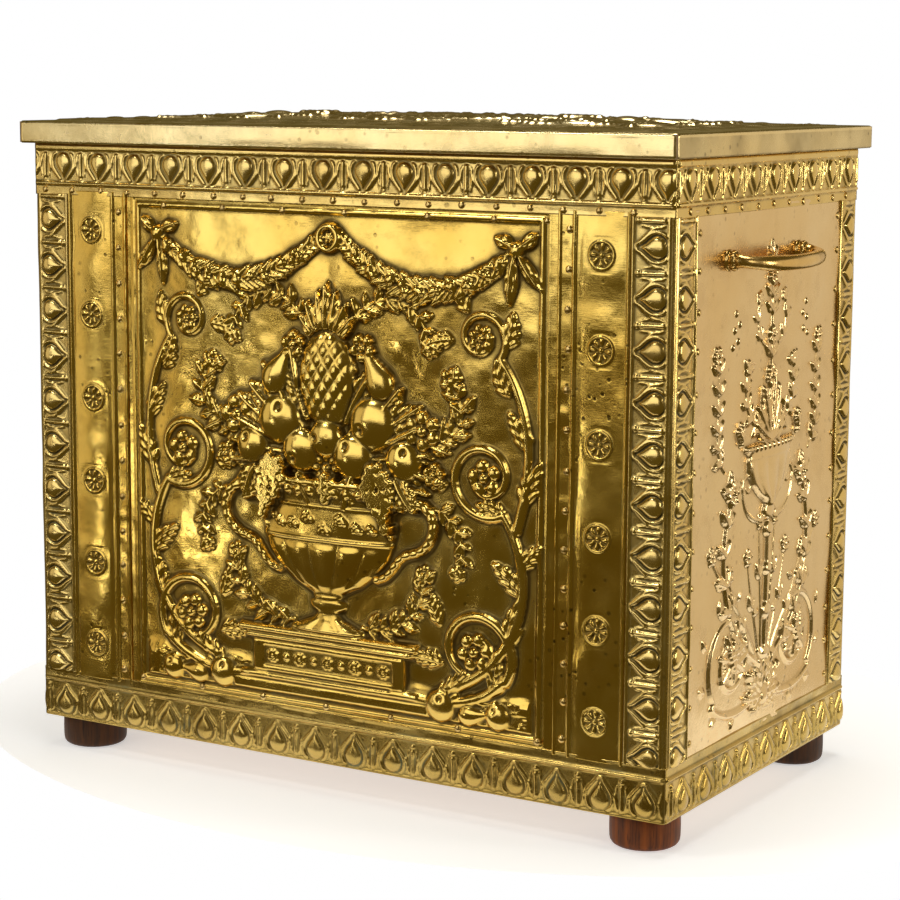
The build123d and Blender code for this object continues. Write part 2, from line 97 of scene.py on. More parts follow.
# ----------------------------------------------------------------- canvas
class Canvas:
    """A height field in millimetres over a flat sheet."""

    def __init__(s, u0, u1, v0, v1, pitch):
        nu, nv = int(round((u1 - u0) / pitch)) + 1, int(round((v1 - v0) / pitch)) + 1
        s.u, s.v = np.linspace(u0, u1, nu), np.linspace(v0, v1, nv)
        s.U, s.V = np.meshgrid(s.u, s.v)
        s.h = np.zeros((nv, nu))
        s.bg = np.zeros((nv, nu))
        s.pitch = (u1 - u0) / (nu - 1)

    def set_bg(s, bg):
        s.bg = bg.copy()
        s.h = bg.copy()

    def win(s, cu, cv, r):
        i0, i1 = np.searchsorted(s.u, [cu - r, cu + r])
        j0, j1 = np.searchsorted(s.v, [cv - r, cv + r])
        return slice(j0, j1), slice(i0, i1)

    def stamp(s, cu, cv, r, fn, rot=0.0, mirror=False, lift=0.0, mode="max"):
        w = s.win(cu, cv, r)
        if w[0].stop <= w[0].start or w[1].stop <= w[1].start:
            return
        X, Y = s.U[w] - cu, s.V[w] - cv
        c, n = math.cos(rot), math.sin(rot)
        X, Y = c * X + n * Y, -n * X + c * Y
        if mirror:
            Y = -Y
        h = fn(X, Y)
        if mode == "add":
            s.h[w] += h
        elif mode == "cut":
            s.h[w] = np.where(h > 0, s.h[w] - h, s.h[w])
        elif mode == "over":
            s.h[w] = np.where(h > 0, np.maximum(s.h[w] * 0.45 + s.bg[w] * 0.55 + h, s.bg[w] + h + lift), s.h[w])
        else:
            s.h[w] = np.where(h > 0, np.maximum(s.h[w], s.bg[w] + lift + h), s.h[w])

    def tube(s, pts, w0, w1, h0, h1, lift=0.0, power=1.0, ribs=0):
        pts = np.asarray(pts, float)
        seg = np.sqrt(((pts[1:] - pts[:-1]) ** 2).sum(1))
        total = seg.sum()
        n = max(4, int(total / (s.pitch * 1.1)))
        cum = np.concatenate([[0], np.cumsum(seg)])
        tt = np.linspace(0, total, n)
        px, py = np.interp(tt, cum, pts[:, 0]), np.interp(tt, cum, pts[:, 1])
        for k in range(n):
            t = (k / (n - 1)) ** power
            w, h = w0 + (w1 - w0) * t, h0 + (h1 - h0) * t
            if ribs:
                h *= 1 + 0.16 * math.sin(tt[k] * 2 * math.pi / ribs)
            s.stamp(px[k], py[k], w + s.pitch,
                    lambda X, Y: h * np.sqrt(np.clip(1 - (X * X + Y * Y) / (w * w), 0, 1)), lift=lift)


def arc(cx, cy, r0, r1, a0, a1, n=60, wob=0.0):
    a = np.radians(np.linspace(a0, a1, n))
    r = np.linspace(r0, r1, n)
    return np.stack([cx + r * np.cos(a), cy + r * np.sin(a)], 1)


def bez(p0, p1, p2, p3, n=40):
    t = np.linspace(0, 1, n)[:, None]
    p0, p1, p2, p3 = map(np.array, (p0, p1, p2, p3))
    return (1 - t) ** 3 * p0 + 3 * (1 - t) ** 2 * t * p1 + 3 * (1 - t) * t * t * p2 + t ** 3 * p3


# ------------------------------------------------------------ motif shapes
def dome(r, h, p=2.0, q=0.5, sx=1.0):
    return lambda X, Y: h * np.clip(1 - (np.sqrt((X / sx) ** 2 + Y * Y) / r) ** p, 0, 1) ** q


def ring(R, w, h):
    def f(X, Y):
        d = np.abs(np.sqrt(X * X + Y * Y) - R)
        return h * np.sqrt(np.clip(1 - (d / w) ** 2, 0, 1))
    return f


def leaf(L, W, h, bend=0.0, lobes=0, depth=0.25, veins=6.0, tipw=0.9):
    """A leaf from its stalk at the origin along +X."""
    def f(X, Y):
        t = np.clip(X / L, 0, 1)
        y = Y - bend * L * t * t
        w = W * np.sin(np.pi * t ** tipw) ** 0.75 + 1e-3
        if lobes:
            w = w * (1 - depth + depth * np.abs(np.sin(np.pi * lobes * (t + 0.12 * np.abs(y) / W))) ** 0.6)
        a = np.abs(y) / w
        inside = (X > 0) & (X < L) & (a < 1)
        body = h * (1 - a ** 3) ** 0.5 * (0.55 + 0.45 * np.sin(np.pi * np.clip(t, 0, 1)) ** 0.5)
        rib = 0.34 * h * np.exp(-(y / (0.09 * W + 0.5)) ** 2) - 0.42 * h * np.exp(-((np.abs(y) - 0.20 * W - 0.8) / (0.10 * W + 0.5)) ** 2)
        ven = 0.12 * h * np.cos((X - 0.9 * np.abs(y)) * 2 * np.pi / veins) * smooth(0.1, 0.5, a)
        return np.where(inside, np.maximum(body + rib + ven, 0.15), 0)
    return f


def acanthus(L, W, h, bend=0.0, lobes=4):
    def f(X, Y):
        t = np.clip(X / L, 0, 1)
        y = Y - bend * L * t * t
        ph = np.pi * lobes * (t ** 0.9 - 0.55 * np.abs(y) / W / lobes * 2)
        w = W * (np.sin(np.pi * t ** 0.8) ** 0.6) * (0.62 + 0.38 * np.abs(np.sin(ph)) ** 0.7) + 1e-3
        a = np.abs(y) / w
        inside = (X > 0) & (X < L) & (a < 1)
        curl = 0.65 + 0.35 * t
        body = h * curl * (1 - a ** 4) ** 0.5 * (0.62 + 0.38 * np.abs(np.sin(ph)) ** 0.8)
        rib = 0.25 * h * np.exp(-(y / (0.10 * W + 0.4)) ** 2) - 0.3 * h * np.exp(-((np.abs(y) - 0.22 * W) / (0.09 * W + 0.4)) ** 2)
        return np.where(inside, np.maximum(body + rib, 0.15), 0)
    return f


def flower(R, n, h, core=0.26, gap=0.55, twist=0.0):
    def f(X, Y):
        r = np.sqrt(X * X + Y * Y)
        th = np.arctan2(Y, X) + twist * r / R
        lob = np.abs(np.cos(n * th / 2))
        edge = R * (0.66 + 0.34 * lob ** gap)
        a = r / edge
        pet = h * np.clip(1 - a ** 4, 0, 1) ** 0.5 * (0.35 + 0.65 * lob ** 0.8) * (0.55 + 0.45 * np.clip(a, 0, 1))
        pet = np.where(a < 1, pet, 0)
        c = core * R
        cen = (h * 1.05) * np.sqrt(np.clip(1 - (r / c) ** 2, 0, 1)) + 0.0
        moat = -0.5 * h * np.exp(-((r - c * 1.15) / (0.10 * R + 0.3)) ** 2)
        return np.where(a < 1, np.maximum(pet + moat, 0.1), 0) * (r > c) + np.where(r <= c, 0.35 * h + 0.65 * cen, 0)
    return f


def apple(r, h, seed=0):
    def f(X, Y):
        d = np.sqrt(X * X + Y * Y)
        b = h * np.sqrt(np.clip(1 - (d / r) ** 2, 0, 1))
        dim = 0.35 * h * np.exp(-((X - 0.25 * r) ** 2 + (Y - 0.45 * r) ** 2) / (0.16 * r) ** 2)
        return np.where(d < r, np.maximum(b - dim, 0.1), 0)
    return f


def pear(r, h):
    def f(X, Y):
        t = np.clip((X + r) / (3.1 * r), 0, 1)
        w = r * np.where(t < 0.35, np.sqrt(np.clip(1 - ((t - 0.35) / 0.35) ** 2, 0, 1)), 1 - 0.62 * smooth(0.35, 0.95, t)) * np.sqrt(np.clip((1 - t) * 14, 0, 1))
        a = np.abs(Y) / (w + 1e-3)
        return np.where((a < 1) & (t > 0) & (t < 1), h * (w / r) ** 0.7 * np.sqrt(np.clip(1 - a * a, 0, 1)), 0)
    return f


def grapes(c, cu, cv, length, width, h, ang, seed, lift=0.0, r=4.4):
    rs = np.random.RandomState(seed)
    ca, sa = math.cos(ang), math.sin(ang)
    rows = int(length / (r * 1.45))
    for k in range(rows):
        t = k / max(1, rows - 1)
        w = width * (1 - t) ** 0.6 * (0.55 + 0.9 * min(1, t * 4)) * 0.6
        m = max(1, int(2 * w / (r * 1.55)))
        for j in range(m):
            off = (j - (m - 1) / 2) * r * 1.6 + rs.uniform(-0.7, 0.7)
            al = k * r * 1.45 + rs.uniform(-0.7, 0.7)
            rr = r * rs.uniform(0.88, 1.1)
            c.stamp(cu + ca * al - sa * off, cv + sa * al + ca * off, rr + 1,
                    dome(rr, h * 0.55), lift=lift + h * 0.45 * (1 - (abs(off) / (w + r)) ** 2))


def drop_width(b, c, R, tip):
    t = np.clip((b - c) / (tip - c), 0, 1)
    return R * ((1 - t) ** 2 * (1 + 2 * t)) ** 0.85


def drop_sd(a, b, c, R, tip):
    """Signed distance, about, to a drop: round at c, its point at tip."""
    w = drop_width(b, c, R, tip)
    e = 0.4
    sl = (drop_width(b + e, c, R, tip) - drop_width(b - e, c, R, tip)) / (2 * e)
    low = np.sqrt(a * a + (b - c) ** 2) - R
    high = (np.abs(a) - w) / np.sqrt(1 + sl * sl)
    high = np.where(b > tip, np.sqrt(a * a + (b - tip) ** 2), high)
    return np.where(b < c, low, high)


def rib_profile(d, w, h):
    return h * np.clip(1 - (d / w) ** 2, 0, 1) ** 0.7


def egg_and_dart(a, b, pitch):
    """a along the border from an egg's centre, b across: 0 at the round side, 26 at the point."""
    a = (a + pitch / 2) % pitch - pitch / 2
    k = pitch / 35.0
    a = a / k
    egg = drop_sd(a, b, 9.0, 7.3, 22.5)
    t = np.clip(-egg / 7.3, 0, 1)
    h = np.where(egg < 0, 0.5 + 2.9 * np.sqrt(np.clip(1 - (1 - t) ** 2, 0, 1)), 0)
    h = np.maximum(h, rib_profile(egg - 2.9, 1.25, 1.9) * smooth(0.5, 3.0, b))
    outer = drop_sd(a, b, 8.0, 13.2, 29.0)
    h = np.maximum(h, rib_profile(outer, 1.15, 1.6) * smooth(2.5, 8.0, b))
    s = np.abs(a) - 17.5
    dart_w = 1.5 - 0.4 * smooth(4, 12, b) + 0.8 * smooth(12, 21, b)
    h = np.maximum(h, np.where((b > 1.2) & (b < 21.5), rib_profile(s, dart_w + 0.3, 2.0) * smooth(0.9, 2.8, b) * smooth(22.0, 20.5, b), 0))
    ball = np.sqrt(s * s + (b - 23.6) ** 2)
    h = np.maximum(h, 1.9 * np.sqrt(np.clip(1 - (ball / 2.3) ** 2, 0, 1)))
    # leaf lines that flank the dart
    side = np.abs(s) - (2.9 + 1.6 * smooth(2, 9, b) - 1.2 * smooth(12, 22, b))
    h = np.maximum(h, rib_profile(side, 0.85, 1.25) * smooth(1.5, 4.0, b) * smooth(23, 18, b))
    return h


# --------------------------------------------------------------- meshes
def cavity(h, pitch, fine=1.6, wide=5.0):
    return np.clip((blur(h, fine / pitch) - h) * 0.9 + (blur(h, wide / pitch) - h) * 0.35, -2, 2)


def grid_faces(nv, nu):
    i = np.arange(nv * nu).reshape(nv, nu)
    return np.stack([i[:-1, :-1], i[:-1, 1:], i[1:, 1:], i[1:, :-1]], -1).reshape(-1, 4)


def loop_ids(nv, nu):
    i = np.arange(nv * nu).reshape(nv, nu)
    return np.concatenate([i[0, :-1], i[:-1, -1], i[-1, :0:-1], i[:0:-1, 0]])


def make_mesh(name, verts, quads, tris=None, attrs=None, smooth_faces=True):
    me = bpy.data.meshes.new(name)
    verts = np.asarray(verts, np.float32) / 1000.0
    nq, nt = len(quads), 0 if tris is None else len(tris)
    me.vertices.add(len(verts))
    me.vertices.foreach_set("co", verts.ravel())
    loops = np.concatenate([np.asarray(quads, np.int32).ravel()] + ([np.asarray(tris, np.int32).ravel()] if nt else []))
    me.loops.add(len(loops))
    me.loops.foreach_set("vertex_index", loops)
    me.polygons.add(nq + nt)
    starts = np.concatenate([np.arange(nq) * 4, nq * 4 + np.arange(nt) * 3]).astype(np.int32)
    me.polygons.foreach_set("loop_start", starts)
    me.polygons.foreach_set("use_smooth", np.full(nq + nt, smooth_faces, bool))
    me.update(calc_edges=True)
    me.validate()
    for key, values in (attrs or {}).items():
        at = me.attributes.new(key, "FLOAT", "POINT")
        at.data.foreach_set("value", np.asarray(values, np.float32).ravel())
    ob = bpy.data.objects.new(name, me)
    bpy.context.scene.collection.objects.link(ob)
    return ob


def sheet_mesh(name, P, back, cav, flip=False):
    """A closed sheet: the relief P (nv, nu, 3), its rim carried back along the vector `back`, and a flat back."""
    nv, nu = P.shape[:2]
    verts = P.reshape(-1, 3)
    quads = grid_faces(nv, nu)
    ids = loop_ids(nv, nu)
    m = len(ids)
    rim = back(verts[ids].copy())
    base = len(verts)
    nid = base + np.arange(m)
    side = np.stack([ids, nid, np.roll(nid, -1), np.roll(ids, -1)], -1)
    centre = rim.mean(0, keepdims=True)
    tris = np.stack([nid, np.full(m, base + m), np.roll(nid, -1)], -1)
    verts = np.concatenate([verts, rim, centre])
    quads = np.concatenate([quads, side])
    if flip:
        quads, tris = quads[:, ::-1], tris[:, ::-1]
    c = np.concatenate([cav.ravel(), np.zeros(m + 1)])
    return make_mesh(name, verts, quads, tris, {"cav": c})


def on_front(c, h=None, base=0.0):
    h = c.h if h is None else h
    return np.stack([c.U, YF - base - h, Z0 + c.V], -1)


def on_back(c, h=None, base=0.0):
    h = c.h if h is None else h
    return np.stack([-c.U, YB + base + h, Z0 + c.V], -1)


def on_right(c, h=None, base=0.0):
    h = c.h if h is None else h
    return np.stack([XS + base + h, YF + c.U, Z0 + c.V], -1)


def on_left(c, h=None, base=0.0):
    h = c.h if h is None else h
    return np.stack([-(XS + base + h), YB - (c.U - 0) , Z0 + c.V], -1)


def back_to(axis, value):
    def f(p):
        p[:, axis] = value
        return p
    return f


# --------------------------------------------------------------- materials
def nodes_of(name):
    m = bpy.data.materials.new(name)
    m.use_nodes = True
    nt = m.node_tree
    for n in list(nt.nodes):
        nt.nodes.remove(n)
    out = nt.nodes.new("ShaderNodeOutputMaterial")
    bs = nt.nodes.new("ShaderNodeBsdfPrincipled")
    nt.links.new(bs.outputs[0], out.inputs[0])
    return m, nt, bs


def node(nt, kind, **kw):
    n = nt.nodes.new(kind)
    for k, v in kw.items():
        setattr(n, k, v)
    return n


def math_node(nt, op, a, b=None, clamp=False, c=None):
    n = node(nt, "ShaderNodeMath", operation=op)
    n.use_clamp = clamp
    for i, x in enumerate((a, b, c)):
        if x is None:
            continue
        if isinstance(x, (int, float)):
            n.inputs[i].default_value = x
        else:
            nt.links.new(x, n.inputs[i])
    return n.outputs[0]


def noise_node(nt, vec, scale, detail=3.0, rough=0.5):
    n = node(nt, "ShaderNodeTexNoise")
    n.inputs["Scale"].default_value = scale
    n.inputs["Detail"].default_value = detail
    n.inputs["Roughness"].default_value = rough
    nt.links.new(vec, n.inputs["Vector"])
    return n.outputs["Fac"]


def ramp_node(nt, fac, stops):
    n = node(nt, "ShaderNodeValToRGB")
    el = n.color_ramp.elements
    while len(el) < len(stops):
        el.new(0.5)
    for e, (p, col) in zip(el, stops):
        e.position = p
        e.color = (*col, 1) if len(col) == 3 else col
    nt.links.new(fac, n.inputs[0])
    return n.outputs["Color"]


def mix_rgb(nt, fac, a, b, mode="MIX"):
    n = node(nt, "ShaderNodeMix", data_type="RGBA", blend_type=mode)
    for sock, x in ((n.inputs[0], fac), (n.inputs[6], a), (n.inputs[7], b)):
        if isinstance(x, (int, float)):
            sock.default_value = x
        elif isinstance(x, tuple):
            sock.default_value = (*x, 1)
        else:
            nt.links.new(x, sock)
    return n.outputs[2]


def map_range(nt, v, a, b, c, d):
    n = node(nt, "ShaderNodeMapRange")
    n.clamp = True
    nt.links.new(v, n.inputs[0])
    for i, x in zip((1, 2, 3, 4), (a, b, c, d)):
        n.inputs[i].default_value = x
    return n.outputs[0]


def brass(name, bright, warm, dark, rough=(0.16, 0.34), patina=1.0, green=0.0, pits=0.4, scratch=0.5, use_cav=True, green_z=0.0, hammer=0.3):
    m, nt, bs = nodes_of(name)
    tc = node(nt, "ShaderNodeTexCoord").outputs["Object"]
    tone = noise_node(nt, tc, 9.0, 4.0, 0.6)
    cloud = noise_node(nt, tc, 38.0, 5.0, 0.62)
    fine = noise_node(nt, tc, 260.0, 3.0, 0.6)
    base = mix_rgb(nt, map_range(nt, tone, 0.36, 0.66, 0.0, 1.0), bright, warm)
    # tarnish in blotches
    blot = map_range(nt, cloud, 0.50, 0.78, 0.0, 0.55 * patina)
    base = mix_rgb(nt, blot, base, tuple(0.62 * b + 0.38 * d for b, d in zip(warm, dark)))
    if use_cav:
        cav = node(nt, "ShaderNodeAttribute", attribute_name="cav").outputs["Fac"]
        edge = math_node(nt, "ADD", cav, math_node(nt, "MULTIPLY", math_node(nt, "SUBTRACT", cloud, 0.5), 0.55))
        cavf = map_range(nt, edge, 0.12, 0.95, 0.0, min(1.0, 0.92 * patina))
        worn = map_range(nt, cav, -0.9, -0.1, 0.55, 0.0)
        base = mix_rgb(nt, worn, base, tuple(min(1.0, 1.06 * x + 0.02) for x in bright))
    else:
        cavf = map_range(nt, cloud, 0.62, 0.86, 0.0, 0.5 * patina)
    base = mix_rgb(nt, cavf, base, dark)
    # small dark pits and specks
    vor = node(nt, "ShaderNodeTexVoronoi")
    vor.inputs["Scale"].default_value = 120.0
    vor.inputs["Randomness"].default_value = 1.0
    nt.links.new(tc, vor.inputs["Vector"])
    where = map_range(nt, noise_node(nt, tc, 17.0, 3.0), 0.47, 0.62, 0.0, 1.0)
    speck = math_node(nt, "MULTIPLY", map_range(nt, vor.outputs["Distance"], 0.12, 0.24, pits, 0.0), where)
    base = mix_rgb(nt, speck, base, tuple(0.5 * x for x in dark))
    rough_v = math_node(nt, "ADD", map_range(nt, cloud, 0.3, 0.75, rough[0], rough[1]), math_node(nt, "MULTIPLY", cavf, 0.24))
    metal = math_node(nt, "SUBTRACT", 1.0, math_node(nt, "MULTIPLY", cavf, 0.25))
    if green > 0:
        gpos = noise_node(nt, tc, 24.0, 4.0, 0.65)
        gm = map_range(nt, gpos, 0.52, 0.70, 0.0, green)
        if use_cav:
            gm = math_node(nt, "MULTIPLY", gm, map_range(nt, cav, 0.05, 0.7, 0.15, 1.0))
        if green_z > 0:
            sep = node(nt, "ShaderNodeSeparateXYZ")
            nt.links.new(tc, sep.inputs[0])
            gm = math_node(nt, "MULTIPLY", gm, map_range(nt, sep.outputs["Z"], 0.055, green_z, 1.0, 0.25))
        base = mix_rgb(nt, gm, base, (0.10, 0.16, 0.10))
        metal = math_node(nt, "SUBTRACT", metal, math_node(nt, "MULTIPLY", gm, 0.8), clamp=True)
        rough_v = math_node(nt, "ADD", rough_v, math_node(nt, "MULTIPLY", gm, 0.35))
    nt.links.new(base, bs.inputs["Base Color"])
    nt.links.new(metal, bs.inputs["Metallic"])
    nt.links.new(math_node(nt, "MINIMUM", rough_v, 0.95), bs.inputs["Roughness"])
    # fine scratches, orange peel and hammering as bump
    mp = node(nt, "ShaderNodeMapping")
    mp.inputs["Scale"].default_value = (1.0, 1.0, 14.0)
    mp.inputs["Rotation"].default_value = (0.5, 0.35, 0.2)
    nt.links.new(tc, mp.inputs["Vector"])
    scr = noise_node(nt, mp.outputs[0], 120.0, 2.0, 0.7)
    peel = noise_node(nt, tc, 120.0, 2.0, 0.5)
    hh = math_node(nt, "ADD", math_node(nt, "MULTIPLY", scr, 0.16 * scratch),
                   math_node(nt, "ADD", math_node(nt, "MULTIPLY", peel, hammer), math_node(nt, "MULTIPLY", fine, 0.10)))
    hh = math_node(nt, "SUBTRACT", hh, math_node(nt, "MULTIPLY", speck, 0.4))
    bp = node(nt, "ShaderNodeBump")
    bp.inputs["Strength"].default_value = 0.55
    bp.inputs["Distance"].default_value = 0.0007
    nt.links.new(hh, bp.inputs["Height"])
    nt.links.new(bp.outputs[0], bs.inputs["Normal"])
    return m


def wood(name, light, dark, axis="Z", scale=1.0, gloss=0.45, redness=0.0, rough=0.5):
    m, nt, bs = nodes_of(name)
    tc = node(nt, "ShaderNodeTexCoord").outputs["Object"]
    mp = node(nt, "ShaderNodeMapping")
    s = {"X": (0.06, 1, 1), "Y": (1, 0.06, 1), "Z": (1, 1, 0.06)}[axis]
    mp.inputs["Scale"].default_value = tuple(scale * x for x in s)
    nt.links.new(tc, mp.inputs["Vector"])
    grain = noise_node(nt, mp.outputs[0], 190.0, 6.0, 0.68)
    wide = noise_node(nt, mp.outputs[0], 42.0, 3.0, 0.55)
    pores = noise_node(nt, mp.outputs[0], 620.0, 2.0, 0.6)
    col = ramp_node(nt, grain, [(0.28, dark), (0.46, tuple(0.5 * (a + b) for a, b in zip(light, dark))), (0.62, light), (0.80, tuple(0.8 * a for a in light))])
    col = mix_rgb(nt, map_range(nt, wide, 0.35, 0.65, 0.0, 0.55), col, dark)
    col = mix_rgb(nt, map_range(nt, pores, 0.60, 0.72, 0.0, 0.8), col, tuple(0.35 * a for a in dark))
    dirt = noise_node(nt, tc, 30.0, 4.0, 0.6)
    col = mix_rgb(nt, map_range(nt, dirt, 0.55, 0.75, 0.0, 0.5), col, tuple(0.5 * a for a in dark))
    nt.links.new(col, bs.inputs["Base Color"])
    nt.links.new(map_range(nt, grain, 0.3, 0.7, rough - 0.1, rough + 0.15), bs.inputs["Roughness"])
    bs.inputs["Specular IOR Level"].default_value = gloss
    bp = node(nt, "ShaderNodeBump")
    bp.inputs["Strength"].default_value = 0.35
    bp.inputs["Distance"].default_value = 0.0006
    nt.links.new(math_node(nt, "SUBTRACT", grain, math_node(nt, "MULTIPLY", pores, 0.5)), bp.inputs["Height"])
    nt.links.new(bp.outputs[0], bs.inputs["Normal"])
    return m


def steel(name):
    m, nt, bs = nodes_of(name)
    tc = node(nt, "ShaderNodeTexCoord").outputs["Object"]
    a = noise_node(nt, tc, 160.0, 4.0, 0.6)
    b = noise_node(nt, tc, 900.0, 2.0, 0.6)
    nt.links.new(mix_rgb(nt, map_range(nt, a, 0.45, 0.7, 0.0, 1.0), (0.42, 0.41, 0.39), (0.20, 0.15, 0.11)), bs.inputs["Base Color"])
    nt.links.new(map_range(nt, a, 0.3, 0.7, 0.95, 0.6), bs.inputs["Metallic"])
    nt.links.new(map_range(nt, b, 0.3, 0.7, 0.32, 0.6), bs.inputs["Roughness"])
    bp = node(nt, "ShaderNodeBump")
    bp.inputs["Strength"].default_value = 0.3
    bp.inputs["Distance"].default_value = 0.0003
    nt.links.new(b, bp.inputs["Height"])
    nt.links.new(bp.outputs[0], bs.inputs["Normal"])
    return m


GOLD = (0.88, 0.63, 0.165)
GOLD_W = (0.77, 0.49, 0.09)
DARK = (0.070, 0.040, 0.006)
M_front = brass("brass_front", GOLD, GOLD_W, DARK, rough=(0.10, 0.24), patina=0.95, green=0.25, green_z=0.2)
M_strip = brass("brass_strip", GOLD, GOLD_W, DARK, rough=(0.12, 0.26), patina=0.8, green=0.3, green_z=0.15, pits=0.7)
M_border = brass("brass_border", (0.88, 0.66, 0.24), (0.76, 0.52, 0.15), (0.075, 0.055, 0.015), rough=(0.15, 0.32), patina=1.15, green=0.75, green_z=0.14)
# Bottom-band brass: partly painted shade, with base colours dimmed to stand in for the dark reflection low on the box;
# partly real tarnish, with more green and patina.
M_border_low_tarnish_and_shade = brass("brass_border_low_tarnish_and_shade", (0.66, 0.47, 0.14), (0.50, 0.33, 0.075), (0.050, 0.036, 0.008), rough=(0.17, 0.34), patina=1.3, green=0.95, green_z=0.12, pits=0.5)
M_side = brass("brass_side", (0.91, 0.69, 0.37), (0.86, 0.61, 0.28), (0.20, 0.12, 0.035), rough=(0.17, 0.32), patina=0.7, green=0.12, pits=0.35)
M_lid = brass("brass_lid", (0.93, 0.76, 0.40), (0.88, 0.66, 0.28), (0.12, 0.08, 0.02), rough=(0.17, 0.32), patina=0.8, green=0.1, pits=0.5)
M_handle = brass("brass_handle", (0.88, 0.62, 0.24), (0.80, 0.52, 0.17), (0.14, 0.08, 0.02), rough=(0.16, 0.30), patina=0.7, use_cav=False, pits=0.2)
M_nail = brass("brass_nail", (0.82, 0.60, 0.24), (0.66, 0.44, 0.14), (0.09, 0.06, 0.02), rough=(0.18, 0.34), patina=1.2, use_cav=False, pits=0.3)
M_hinge = brass("brass_hinge", (0.70, 0.52, 0.22), (0.56, 0.38, 0.14), (0.10, 0.07, 0.02), rough=(0.28, 0.46), patina=1.3, use_cav=False, pits=0.5)
M_board = wood("wood_board", (0.50, 0.34, 0.19), (0.30, 0.185, 0.09), "X", 1.0, 0.3, rough=0.66)
M_board_v = wood("wood_board_side", (0.50, 0.34, 0.19), (0.30, 0.185, 0.09), "Y", 1.0, 0.3, rough=0.66)
# Painted light on the feet: the front right foot gets a lighter copy of the foot wood as if lit, and the other three
# feet a darker copy as painted shade.
M_painted_lit_foot = wood("wood_foot", (0.34, 0.085, 0.010), (0.035, 0.010, 0.003), "Z", 1.3, 0.22, rough=0.48)
M_painted_shade_foot = wood("wood_foot_dark", (0.105, 0.036, 0.008), (0.018, 0.008, 0.003), "Z", 1.3, 0.22, rough=0.48)
M_steel = steel("steel_fixing")


def paint(ob, mat):
    ob.data.materials.clear()
    ob.data.materials.append(mat)


def finish_piece(ob, mat, body, slot, *replaced):
    paint(ob, mat)
    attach(ob, body)
    if replaced:
        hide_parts(*replaced)
    return ob


def vine(c, pts, m, ln, wd, h, seed=0, w0=1.9, step=9.5, lift=0.4):
    """A bent stem with leaves by turns on either side, and a flower at its end."""
    rs = np.random.RandomState(seed)
    p = np.array(pts, float)
    p[:, 0] *= m
    c.tube(p, w0, w0 * 0.6, w0 * 1.2, w0 * 0.8, lift=lift)
    seg = np.concatenate([[0], np.cumsum(np.sqrt(((p[1:] - p[:-1]) ** 2).sum(1)))])
    n = max(2, int(seg[-1] / step))
    for k in range(n):
        d = (k + 0.6) * seg[-1] / n
        x, y = np.interp(d, seg, p[:, 0]), np.interp(d, seg, p[:, 1])
        x2, y2 = np.interp(d + 2, seg, p[:, 0]), np.interp(d + 2, seg, p[:, 1])
        x1, y1 = np.interp(d - 2, seg, p[:, 0]), np.interp(d - 2, seg, p[:, 1])
        a = math.atan2(y2 - y1, x2 - x1)
        for sg in (-1, 1):
            size = (1 - 0.25 * k / n) * (1.0 if (k + (sg > 0)) % 2 else 0.78)
            c.stamp(x, y, ln + 3, leaf(ln * size, wd * size, h, 0.12 * sg, 5, 0.22, 4.6), rot=a + sg * (0.85 + rs.uniform(-0.12, 0.12)),
                    mirror=(sg < 0), lift=lift)
    c.stamp(p[-1][0], p[-1][1], ln * 0.55 + 2, flower(ln * 0.52, 6, h * 1.15), rot=0.4, lift=lift + 0.4)


